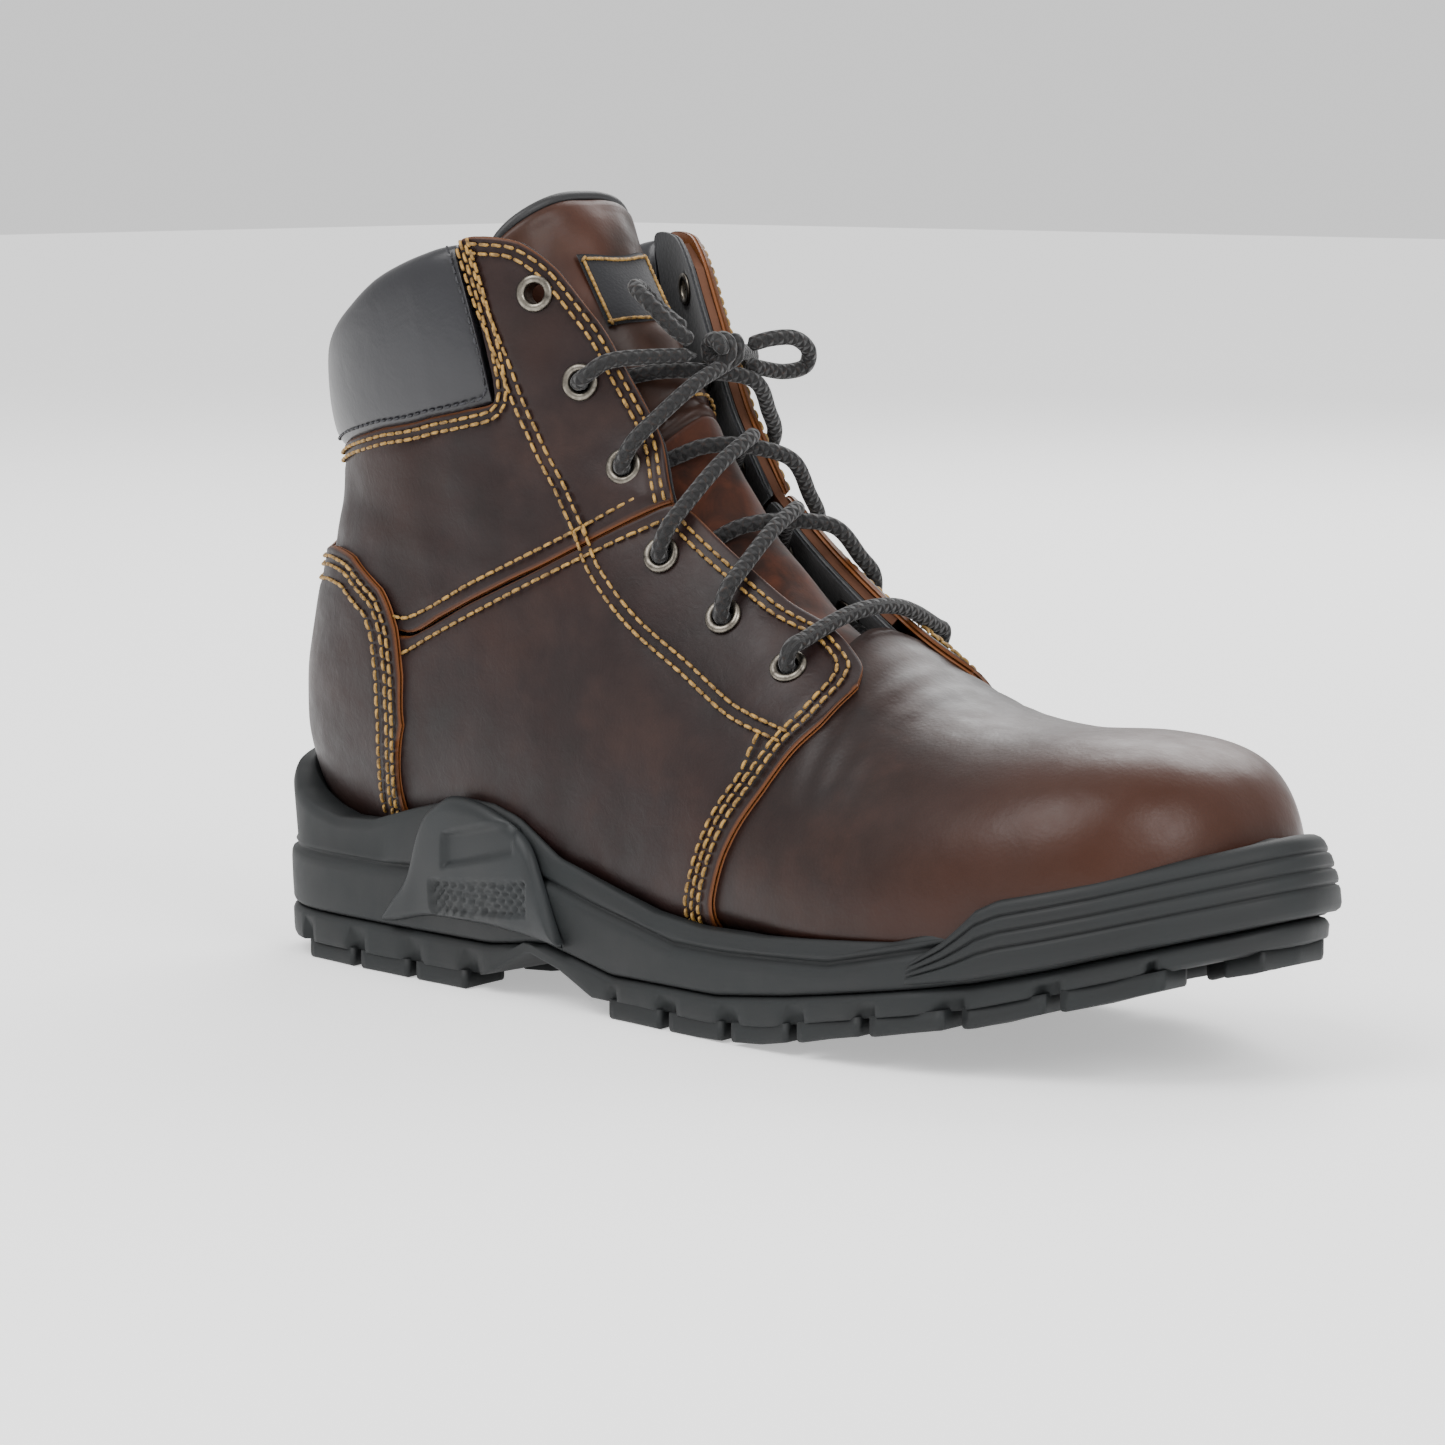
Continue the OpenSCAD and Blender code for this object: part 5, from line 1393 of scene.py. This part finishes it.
HIGH_GROOVE = ((-155, 27), (-100, 27), (-40, 30), (-22, 26), (8, 20.6), (26, 20.6), (60, 22.5), (90, 29),
               (113, 31.5), (125, 35), (155, 44))
RIM = ((-155, 50.5), (-148, 46), (-140, 41.5), (-129, 38.6), (-118, 36.8), (-105, 37.6), (-89, 42), (-70, 46.5),
       (-59, 46), (-50, 43.7), (-35, 35.5), (-15, 30.5), (0, 27), (17, 25.6), (37, 26), (79, 29.4), (92, 33),
       (105, 39.6), (125, 44.4), (141, 49), (155, 53))
FOOTING = ((-155, 58), (-149, 46), (-143, 38), (-136, 32), (-118, 27), (-100, 24), (-60, 21), (-25, 19), (5, 18),
           (55, 18), (80, 19), (105, 22), (122, 25), (133, 28), (140, 33), (155, 44))
WALL_GAP = ((-155, 5.2), (-98, 5.2), (-88, 3), (14, 3), (30, 0.9), (155, 0.9))
SADDLE = ((-97, 13.5, 15), (-93, 14, 20), (-87, 15.5, 27), (-82, 16.5, 40), (-76, 17, 45), (-70, 17, 47),
          (-60, 17, 46), (-50, 16.5, 42.5), (-43, 16, 38), (-38, 15.5, 29), (-33, 15, 19), (-31, 14.6, 16))


def table(rows: Sequence[Sequence[float]], x: Points) -> Points:
    """Height of a line of the sole at x."""
    return np.interp(x, *zip(*rows))


class Plan:
    """Outline of the sole seen from above, and rings set in from it."""

    def __init__(self, half: int = 240) -> None:
        mirror = np.array([1, -1, -1])
        rows = np.vstack([SOLE[1] * mirror, SOLE, SOLE[-2] * mirror])
        k = np.arange(2 * half)
        q = spline(rows, np.where(k <= half, k, 2 * half - k) * (len(SOLE) - 1) / half)
        self.ring = np.stack([q[:, 0], np.where(k <= half, -q[:, 1], q[:, 2])], -1)
        d = np.roll(self.ring, -1, 0) - np.roll(self.ring, 1, 0)
        self.inward = unit(np.stack([-d[:, 1], d[:, 0]], -1))
        self.x = self.ring[:, 0]
        self.run = np.concatenate([[0], np.cumsum(np.linalg.norm(np.diff(self.ring, axis=0), axis=1))])
        self.lean = 4.5 * np.clip((self.x - 100) / 48, 0, 1)
        self.wall = 2.35 * np.clip((self.x - 84) / 12, 0, 1)

    def inset(self, d: Points, z: Points) -> Points:
        """Ring set in by d at height z."""
        p = self.ring + np.broadcast_to(d, self.x.shape)[:, None] * self.inward
        return np.concatenate([p, np.broadcast_to(z, self.x.shape)[:, None]], -1)

    def reach(self, z: Points) -> Points:
        """Distance inwards to the last at height z."""
        lo, hi = np.full(len(self.x), -3.0), np.full(len(self.x), 34.0)
        for _ in range(11):
            mid = (lo + hi) / 2
            p = self.inset(mid, z)
            inside = self.inside(p)
            hi, lo = np.where(inside, mid, hi), np.where(inside, lo, mid)
        return (lo + hi) / 2

    @staticmethod
    def inside(p: Points) -> Points:
        """Whether points are inside the last."""
        sa = LAST.locate(p[:, [0, 2]])
        q = LAST.section(sa[:, 0])
        dx, dz = q[:, 2] - q[:, 0], q[:, 3] - q[:, 1]
        f = ((p[:, 0] - q[:, 0]) * dx + (p[:, 2] - q[:, 1]) * dz) / (dx ** 2 + dz ** 2)
        m = q[:, 8]
        n = np.where(f < m, q[:, 6], q[:, 7])
        t = np.where(f < m, (m - f) / m, (f - m) / (1 - m))
        room = np.where(p[:, 1] < 0, q[:, 4], q[:, 5]) * np.maximum(1 - np.abs(t) ** n, 0) ** (1 / n)
        return (sa[:, 0] > 0.01) & (f > 0) & (f < 1) & (np.abs(p[:, 1]) < room)

    def thin(self, d: Points, extra: float) -> Points:
        """Keeps a wall in front of the layers of leather."""
        return np.maximum(d - table(WALL_GAP, self.x), self.wall + extra + 1.3)


def stacked(name: str, rings: Sequence[Points], finish: Finish) -> bpy.types.Object:
    """A solid from closed rings, its ends closed across."""
    m = len(rings[0])
    faces = quads(len(rings), m, wrap=True)
    half = m // 2
    for base, last in ((0, False), ((len(rings) - 1) * m, True)):
        caps = [(base, base + 1, base + m - 1)]
        caps += [(base + i, base + i + 1, base + m - i - 1, base + m - i) for i in range(1, half - 1)]
        caps += [(base + half - 1, base + half, base + half + 1)]
        faces += caps if last else [tuple(reversed(c)) for c in caps]
    return outward(make_mesh(name, np.vstack(rings), faces, finish))


class Sole:
    """Rubber under the foot: wall, ground plate, lugs, toe bumper and arch saddle."""

    def __init__(self) -> None:
        self.plan = Plan()

    def core(self, low: Points) -> Points:
        """Ring inside the sole's edge where the wall and the plate meet, clear of the sprung toe."""
        ring = self.plan.inset(self.plan.wall + 9, 0.0)
        ring[:, 2] = np.minimum(low, table(GROUND, ring[:, 0]) + 5.2)
        return ring

    def wall(self) -> None:
        """The wall with its two mould grooves and the rim against the upper."""
        p = self.plan
        low, high, rim = table(LOW_GROOVE, p.x), table(HIGH_GROOVE, p.x), table(RIM, p.x)
        foot = table(FOOTING, 0.93 * p.x)
        heel = np.clip((-95 - p.x) / 6, 0, 1)
        rings = [self.core(low) + [0, 0, 0.1], p.inset(p.wall + 2.6, low + 0.1),
                 p.inset(p.wall + 1.5, low + 0.35), p.inset(p.wall + 0.8, low + 0.9),
                 p.inset(p.wall + 0.5, low + 1.7), p.inset(p.wall + 0.25, (low + high) / 2 - 1.2)]
        step = 1.1 * heel
        rings += [p.inset(p.wall + 0.1, high - 3.6), p.inset(p.wall + 0.2, high - 2.0),
                  p.inset(p.wall + 0.6, high - 1.1), p.inset(p.wall + 1.6, high - 0.5),
                  p.inset(p.wall + 1.9, high), p.inset(p.wall + 1.6, high + 0.5),
                  p.inset(p.wall + 0.8 + step * 0.4, high + 1.0), p.inset(p.wall + 0.55 + step, high + 1.8)]
        for drop, extra in ((3.0, 0.75), (2.0, 0.95), (1.2, 1.2), (0.5, 1.55), (0.12, 2.0)):
            z = np.maximum(rim - drop, high + 1.9 + (3 - drop) * 0.12)
            rings.append(p.inset(p.wall + extra + p.lean, z))
        edge = np.maximum(p.thin(p.reach(rim), 1.6), p.wall + 2.9 + p.lean)
        rings.append(p.inset(edge - 0.5, rim))
        rings.append(p.inset(edge, rim - 0.3))
        mid = (foot + 3 + rim) / 2
        low_edge = p.reach(foot + 3)
        rings += [p.inset(p.thin(p.reach(mid), 1.6), mid), p.inset(p.thin(low_edge, 1.6), foot + 3),
                  p.inset(p.thin(low_edge, 1.6), foot - 0.5 + 1.4 * np.clip((p.x - 95) / 17, 0, 1))]
        show(stacked("sole_wall", rings, SOLE_RUBBER), BOOT, "rubber_sole", "midsole")

    def plate(self) -> None:
        """The ground plate, its edge notched between the lugs."""
        p = self.plan
        ground, low = table(GROUND, p.x), table(LOW_GROOVE, p.x)
        notch = self.notches(p.x)
        under = p.inset(p.wall + 3.4, 0.0)
        under[:, 2] = table(GROUND, under[:, 0]) + 4
        rings = [under, p.inset(p.wall + 0.9 + 2.2 * notch, ground + 4.1),
                 p.inset(p.wall + 0.6 + 2.2 * notch, ground + 4.6),
                 p.inset(p.wall + 0.5 + 2.0 * notch * np.clip((low - ground - 7) / 2, 0, 1), ground + 6.0)]
        top = np.maximum(low - 1.8, ground + 6.4)
        rings += [p.inset(p.wall + 0.4, top), p.inset(p.wall + 0.8, np.maximum(low - 0.9, top + 0.1)),
                  p.inset(p.wall + 1.5, np.maximum(low - 0.25, top + 0.2)),
                  p.inset(p.wall + 2.4, np.maximum(low, top + 0.3)), self.core(low)]
        show(stacked("ground_plate", rings, SOLE_RUBBER), BOOT, "rubber_sole", "outsole")

    @staticmethod
    def notches(x: Points) -> Points:
        """1 in the gaps between the lugs along the edge, 0 elsewhere."""
        fore = np.abs((x + 14 + 2.5) % 22 - 0.0)
        fore = np.minimum(fore, 22 - fore)
        heel = np.abs((x + 130 + 2.5) % 22)
        heel = np.minimum(heel, 22 - heel)
        in_fore, in_heel = (x > -14) & (x < 136), (x > -134) & (x < -62)
        d = np.where(in_fore, fore, np.where(in_heel, heel, 99))
        return np.clip((3.4 - d) / 1.2, 0, 1)

    @staticmethod
    def width_at(x: float, side: int) -> float:
        """y of the outline at x."""
        return side * float(np.interp(x, SOLE[:, 0], SOLE[:, 1 if side < 0 else 2]))

    def lug(self, corners: Sequence[tuple[float, float]]) -> tuple[Points, list]:
        """A lug: a prism with a rounded tread edge."""
        c = np.array(corners, float)
        c = np.array([c[i] + (c[(i + 1) % len(c)] - c[i]) * t for i in range(len(c)) for t in (0, 0.1, 0.5, 0.9)])
        mid = c.mean(0)
        ground = table(GROUND, c[:, 0])
        rings = []
        for inset, lift in ((1.3, 0.0), (0.5, 0.12), (0.12, 0.5), (0.0, 1.2), (0.0, 4.6)):
            q = c + (mid - c) * np.minimum(inset / np.maximum(np.linalg.norm(c - mid, axis=1), 1), 0.4)[:, None]
            rings.append(np.column_stack([q, ground + lift]))
        k = len(c)
        faces = quads(len(rings), k, wrap=True) + [tuple(reversed(range(k))), tuple(range(4 * k, 5 * k))]
        return np.vstack(rings), faces

    def side_lug(self, x0: float, width: float, side: int) -> tuple[Points, list]:
        """A lug at the edge of the sole."""
        a, b = x0 - 0.9, x0 + 17.9
        out = 0.75 + 2.35 * max(0.0, min(1.0, (x0 - 76) / 12))
        y0, y1 = self.width_at(a, side), self.width_at(b, side)
        return self.lug([(a, y0 - side * out), (b, y1 - side * out), (b - 2.5, y1 - side * (3.2 + width)),
                         (a + 2.5, y0 - side * (3.2 + width))])

    def lugs(self) -> None:
        """Lugs of the forefoot and the heel."""
        fore = [self.side_lug(x, 11 if x > 90 else 15, s) for x in range(-14, 119, 22) for s in (-1, 1)]
        fore += [self.lug(self.arrow(x, 13, 3)) for x in range(-12, 99, 22)]
        fore.append(self.lug([(140, -13), (149, -11), (150.5, 0), (149, 11), (140, 13), (137, 0)]))
        heel = [self.side_lug(x, 13, s) for x in range(-130, -69, 22) for s in (-1, 1)]
        heel += [self.lug(self.arrow(x, 11, 0)) for x in range(-122, -77, 22)]
        heel.append(self.lug([(-151, -10), (-144, -14), (-136, -12), (-138, 0), (-136, 12), (-144, 14), (-151, 10),
                              (-152.5, 0)]))
        for name, parts, node in (("forefoot_lugs", fore, "tread_forefoot"), ("heel_lugs", heel, "tread_heel")):
            points, faces, start = [], [], 0
            for p, f in parts:
                points.append(p)
                faces += [tuple(start + k for k in face) for face in f]
                start += len(p)
            show(outward(make_mesh(name, np.vstack(points), faces, SOLE_RUBBER)), BOOT, "rubber_sole", node)

    @staticmethod
    def arrow(x: float, w: float, y: float) -> list[tuple[float, float]]:
        """Outline of a centre lug."""
        return [(x, y - w), (x + 7, y - w * 0.8), (x + 12, y), (x + 7, y + w * 0.8), (x, y + w), (x + 4, y)]

    def bumper(self) -> None:
        """The ribbed bumper round the toe with its rolled upper lip."""
        p = self.plan
        chosen = np.where(p.x > 81)[0]
        lo, hi = table(LOW_GROOVE, p.x)[chosen] + 1.2, table(RIM, p.x)[chosen] + 1.2
        cut = np.clip((p.x[chosen] - 81) / 19, 0, 1)
        w = np.array([0, 0.05, 0.12, 0.3, 0.345, 0.365, 0.385, 0.43, 0.52, 0.555, 0.575, 0.6, 0.64, 0.74, 0.77,
                      0.79, 0.81, 0.85, 0.93, 0.975, 1.0])
        deep = np.array([1.4, 0.35, 0.05, 0, 0.25, 1.1, 0.3, 0, 0, 0.25, 1.1, 0.3, 0, 0, 0.25, 1.1, 0.35, 0.1, 0.15,
                         0.6, 1.5])
        columns = []
        for j, i in enumerate(chosen):
            share_ = w * (0.35 + 0.65 * cut[j]) if cut[j] < 1 else w
            height = lo[j] + (hi[j] - lo[j]) * share_
            lean = p.lean[i] * share_ ** 2
            end = max(1 - cut[j] / 0.12, 0) * 1.6
            out = p.ring[i] + (deep + lean + end)[:, None] * p.inward[i]
            inn = p.ring[i] + (2.25 + lean[::-4])[:, None] * p.inward[i]
            columns.append(np.vstack([np.column_stack([out, height]), np.column_stack([inn, height[::-4]])]))
        k = len(columns[0])
        faces = quads(len(columns), k, wrap=True)
        faces += [tuple(reversed(range(k))), tuple((len(columns) - 1) * k + i for i in range(k))]
        obj = outward(make_mesh("toe_bumper_ribs", np.vstack(columns), faces, SOLE_RUBBER))
        show(obj, BOOT, "rubber_bumper", "toe_bumper")

    def saddle(self) -> None:
        """The arch stabiliser: a blank recessed field above a knurled window."""
        q = smooth_path(np.array(SADDLE, float), 9)
        points, faces, start = [], [], 0
        w = np.concatenate([[0, 0.015, 0.04, 0.08], np.linspace(0.12, 0.88, 34), [0.92, 0.96, 0.985, 1]])
        for side in (-1, 1):
            u = np.linspace(0, 1, len(q))[:, None]
            x = q[:, :1] + 0 * w
            z = q[:, 1:2] + (q[:, 2:3] - q[:, 1:2]) * w
            across = (q[:, 2:3] - q[:, 1:2]) * np.minimum(w, 1 - w)
            rim = np.minimum(across, 60 * np.minimum(u, 1 - u))
            bulge = 2.2 * np.sqrt(np.clip(rim / 3.2, 0, 1) * (2 - np.clip(rim / 3.2, 0, 1)))
            bulge = bulge + 0.9 * np.sin(np.pi * np.clip(w, 0, 1))
            field = self.box_mask(x, z, -73, -47, 31.5, 40, 0.22, -64)
            knurl = self.box_mask(x, z, -78, -42, 19, 28, 0.1, -60)
            lattice = np.maximum(np.cos((x + z) * 2 * math.pi / 3.2), np.cos((x - z) * 2 * math.pi / 3.2))
            bulge = bulge - 1.2 * field - knurl * (1.2 - 0.5 * lattice)
            y0 = np.array([self.width_at(v, side) for v in q[:, 0]])[:, None]
            outer = np.stack([x, y0 + side * bulge, z], -1)
            inner = np.stack([x, y0 + side * 0.12 + 0 * x, z], -1)
            ni, nj = x.shape
            n = ni * nj
            loop = [i * nj for i in range(ni - 1)] + [(ni - 1) * nj + j for j in range(nj - 1)]
            loop += [i * nj + nj - 1 for i in range(ni - 1, 0, -1)] + list(range(nj - 1, 0, -1))
            part = quads(ni, nj) + [tuple(n + k for k in reversed(f)) for f in quads(ni, nj)]
            part += [(b, a, a + n, b + n) for a, b in zip(loop, loop[1:] + loop[:1])]
            if side > 0:
                part = [tuple(reversed(f)) for f in part]
            points += [outer.reshape(-1, 3), inner.reshape(-1, 3)]
            faces += [tuple(start + k for k in f) for f in part]
            start += 2 * n
        obj = outward(make_mesh("arch_stabiliser", np.vstack(points), faces, SADDLE_RUBBER))
        show(obj, BOOT, "rubber_saddle", "arch_saddle")

    @staticmethod
    def box_mask(x: Points, z: Points, x0: float, x1: float, z0: float, z1: float, slant: float,
                 pivot: float) -> Points:
        """1 inside a slanted rectangle with soft edges."""
        zz = z - slant * (x - pivot)
        d = np.minimum(np.minimum(x - x0, x1 - x), np.minimum(zz - z0, z1 - zz))
        return np.clip(d / 0.9, 0, 1)

    def build(self) -> None:
        """Builds the pieces in order."""
        self.wall()
        self.plate()
        self.lugs()
        self.bumper()
        self.saddle()


# ------------------------------------------------------------------ inside
class Inside:
    """Linings and footbed that show in the mouth, and finishes for what stays hidden."""

    HIDDEN = {"steel_toe_cap": STEEL, "shank": STEEL, "insole_board": BOARD, "heel_counter": STIFFENER,
              "cap_edge_strip": STRIP, "facing_stay_lateral": RAW_EDGE, "facing_stay_medial": RAW_EDGE}

    def __init__(self, lacing: Lacing) -> None:
        self.lacing = lacing

    def linings(self) -> None:
        """Dark lining of the shaft and quarters, tan lining over the toe."""
        low, high = fine(QUARTER_LOW, 7), fine(QUARTER_HIGH, 7)
        s_low, s_high = fine(SHAFT_LOW, 6), fine(SHAFT_HIGH, 6)
        for edge in (low, high, s_low, s_high):
            edge[:, 1] = np.maximum(edge[:, 1], -88)
        for side in Side:
            word = side.name.lower()
            for panel, a, b, rows in (("quarter", low, high, 24), ("shaft", s_low, s_high, 22)):
                obj = shell(f"{panel}_{word}_lining", on_side(panel_places(a, b, rows), side),
                            LINING_IN, LINING_OUT, LINING_CLOTH)
                self.lacing.pierce(obj, side)
                show(obj, BOOT, "lining_dark", f"{panel}_lining")
        angles = np.linspace(-42, 222, 90)
        bent = np.where(angles > 90, 180 - angles, angles)
        throat = LAST.locate(VAMP_REAR)
        order = np.argsort(throat[:, 1])
        rear = np.interp(bent, throat[order, 1], throat[order, 0])
        u = np.linspace(0, 1, 40)[:, None]
        vamp = np.stack([4.24 + (rear - 4.24) * u, np.broadcast_to(angles, (40, 90))], -1)
        show(shell("vamp_inner_lining", vamp, LINING_IN, LINING_OUT, TAN_LINING), BOOT, "lining_tan", "vamp_lining")
        toe = np.stack(np.broadcast_arrays(0.15 + 4.03 * u ** 1.35, angles[None, :]), -1)
        inner = -4.2 - 1.3
        show(shell("toe_inner_lining", toe, inner, inner + 1.15, TAN_LINING, zip_toe=True,
                   open_edges=(False, True, True, True)), BOOT, "lining_tan", "toe_lining")

    def footbed(self) -> None:
        """The loose footbed, covered with cloth, on its own body."""
        p = Plan(120)
        foot = table(FOOTING, 0.93 * p.x)
        edge = p.reach(foot + 3)
        rise = 3.5 * (1 - np.clip((p.x + 60) / 90, 0, 1)) * np.clip((p.x + 150) / 60, 0, 1)
        toe = 1.6 * np.clip((p.x - 60) / 30, 0, 1)
        rings = []
        for z, extra, k in ((3.7, 7.4, 0), (4.2, 7.0, 0.3), (6.6, 6.8, 0.95), (7.6, 7.1, 1), (8.1, 7.9, 1),
                            (8.2, 9.5, 0.9), (7.9, 12, 0.6), (7.7, 16, 0.4)):
            q = p.inset(edge + extra + toe, 0.0)
            q[:, 2] = table(FOOTING, q[:, 0]) + z + k * rise
            rings.append(q)
        show(stacked("footbed_cushion", rings, FOAM), BED, "footbed_foam", "footbed")

    def hidden(self) -> None:
        """Finishes of the solids that are kept as they are."""
        for name, finish in self.HIDDEN.items():
            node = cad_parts[name]
            node.data.materials.clear()
            node.data.materials.append(finish.material())

    def build(self) -> None:
        """Builds the pieces in order."""
        self.linings()
        self.footbed()
        self.hidden()


# ------------------------------------------------------------------ studio
@dataclass(frozen=True)
class Studio:
    """Camera, floor and light."""

    azimuth: float = 42.4
    elevation: float = 6.3
    distance: float = 1190.0
    target: tuple = (0.0, 0.0, 80.0)
    lens: float = 125.6
    shift: tuple = (-0.0447, -0.0384)

    def camera(self) -> None:
        """The camera, level and a little above the boot."""
        az, el = math.radians(self.azimuth), math.radians(self.elevation)
        back = Vector((math.sin(az) * math.cos(el), -math.cos(az) * math.cos(el), math.sin(el)))
        data = bpy.data.cameras.new("camera")
        data.lens, data.sensor_width = self.lens, 36
        data.shift_x, data.shift_y = self.shift
        obj = bpy.data.objects.new("camera", data)
        obj.location = (Vector(self.target) + back * self.distance) * MM
        obj.rotation_euler = (-back).to_track_quat("-Z", "Y").to_euler()
        bpy.context.scene.collection.objects.link(obj)
        bpy.context.scene.camera = obj

    def floor(self) -> None:
        """A pale, plain floor."""
        data = bpy.data.meshes.new("floor")
        data.from_pydata([(-6, -6, 0), (6, -6, 0), (6, 6, 0), (-6, 6, 0)], [], [(0, 1, 2, 3)])
        obj = bpy.data.objects.new("floor", data)
        bpy.context.scene.collection.objects.link(obj)
        made = bpy.data.materials.new("pale_floor")
        made.use_nodes = True
        shader = made.node_tree.nodes["Principled BSDF"]
        shader.inputs["Base Color"].default_value = linear("#f4f4f4")
        shader.inputs["Roughness"].default_value = 0.9
        shader.inputs["Emission Color"].default_value = linear("#ffffff")
        shader.inputs["Emission Strength"].default_value = 0.5
        data.materials.append(made)

    @staticmethod
    def lamp(name: str, place: tuple, size: float, power: float) -> None:
        """A square area light that looks at the boot."""
        data = bpy.data.lights.new(name, "AREA")
        data.size, data.energy = size, power
        obj = bpy.data.objects.new(name, data)
        obj.location = place
        obj.rotation_euler = (Vector((0, 0, 0.09)) - Vector(place)).to_track_quat("-Z", "Y").to_euler()
        bpy.context.scene.collection.objects.link(obj)

    def build(self) -> None:
        """Sets the studio up."""
        self.camera()
        self.floor()
        self.lamp("key_light", (-0.2, -1.1, 1.5), 1.1, 24)
        self.lamp("side_light", (1.5, -0.3, 1.1), 0.8, 16)
        self.lamp("back_light", (-0.6, 1.4, 1.3), 1.2, 24)
        world = bpy.data.worlds.new("studio")
        world.use_nodes = True
        world.node_tree.nodes["Background"].inputs[0].default_value = linear("#ffffff")
        world.node_tree.nodes["Background"].inputs[1].default_value = 1.0
        bpy.context.scene.world = world


def main() -> None:
    """Builds the boot in order."""
    logging.basicConfig(level=logging.INFO, format="%(name)s %(message)s")
    lacing = Lacing()
    for part in (Sole(), Upper(lacing), Collar(), Tongue(), Inside(lacing), lacing, Studio()):
        log.info("building %s", type(part).__name__)
        part.build()


if __name__ == "__main__":
    main()
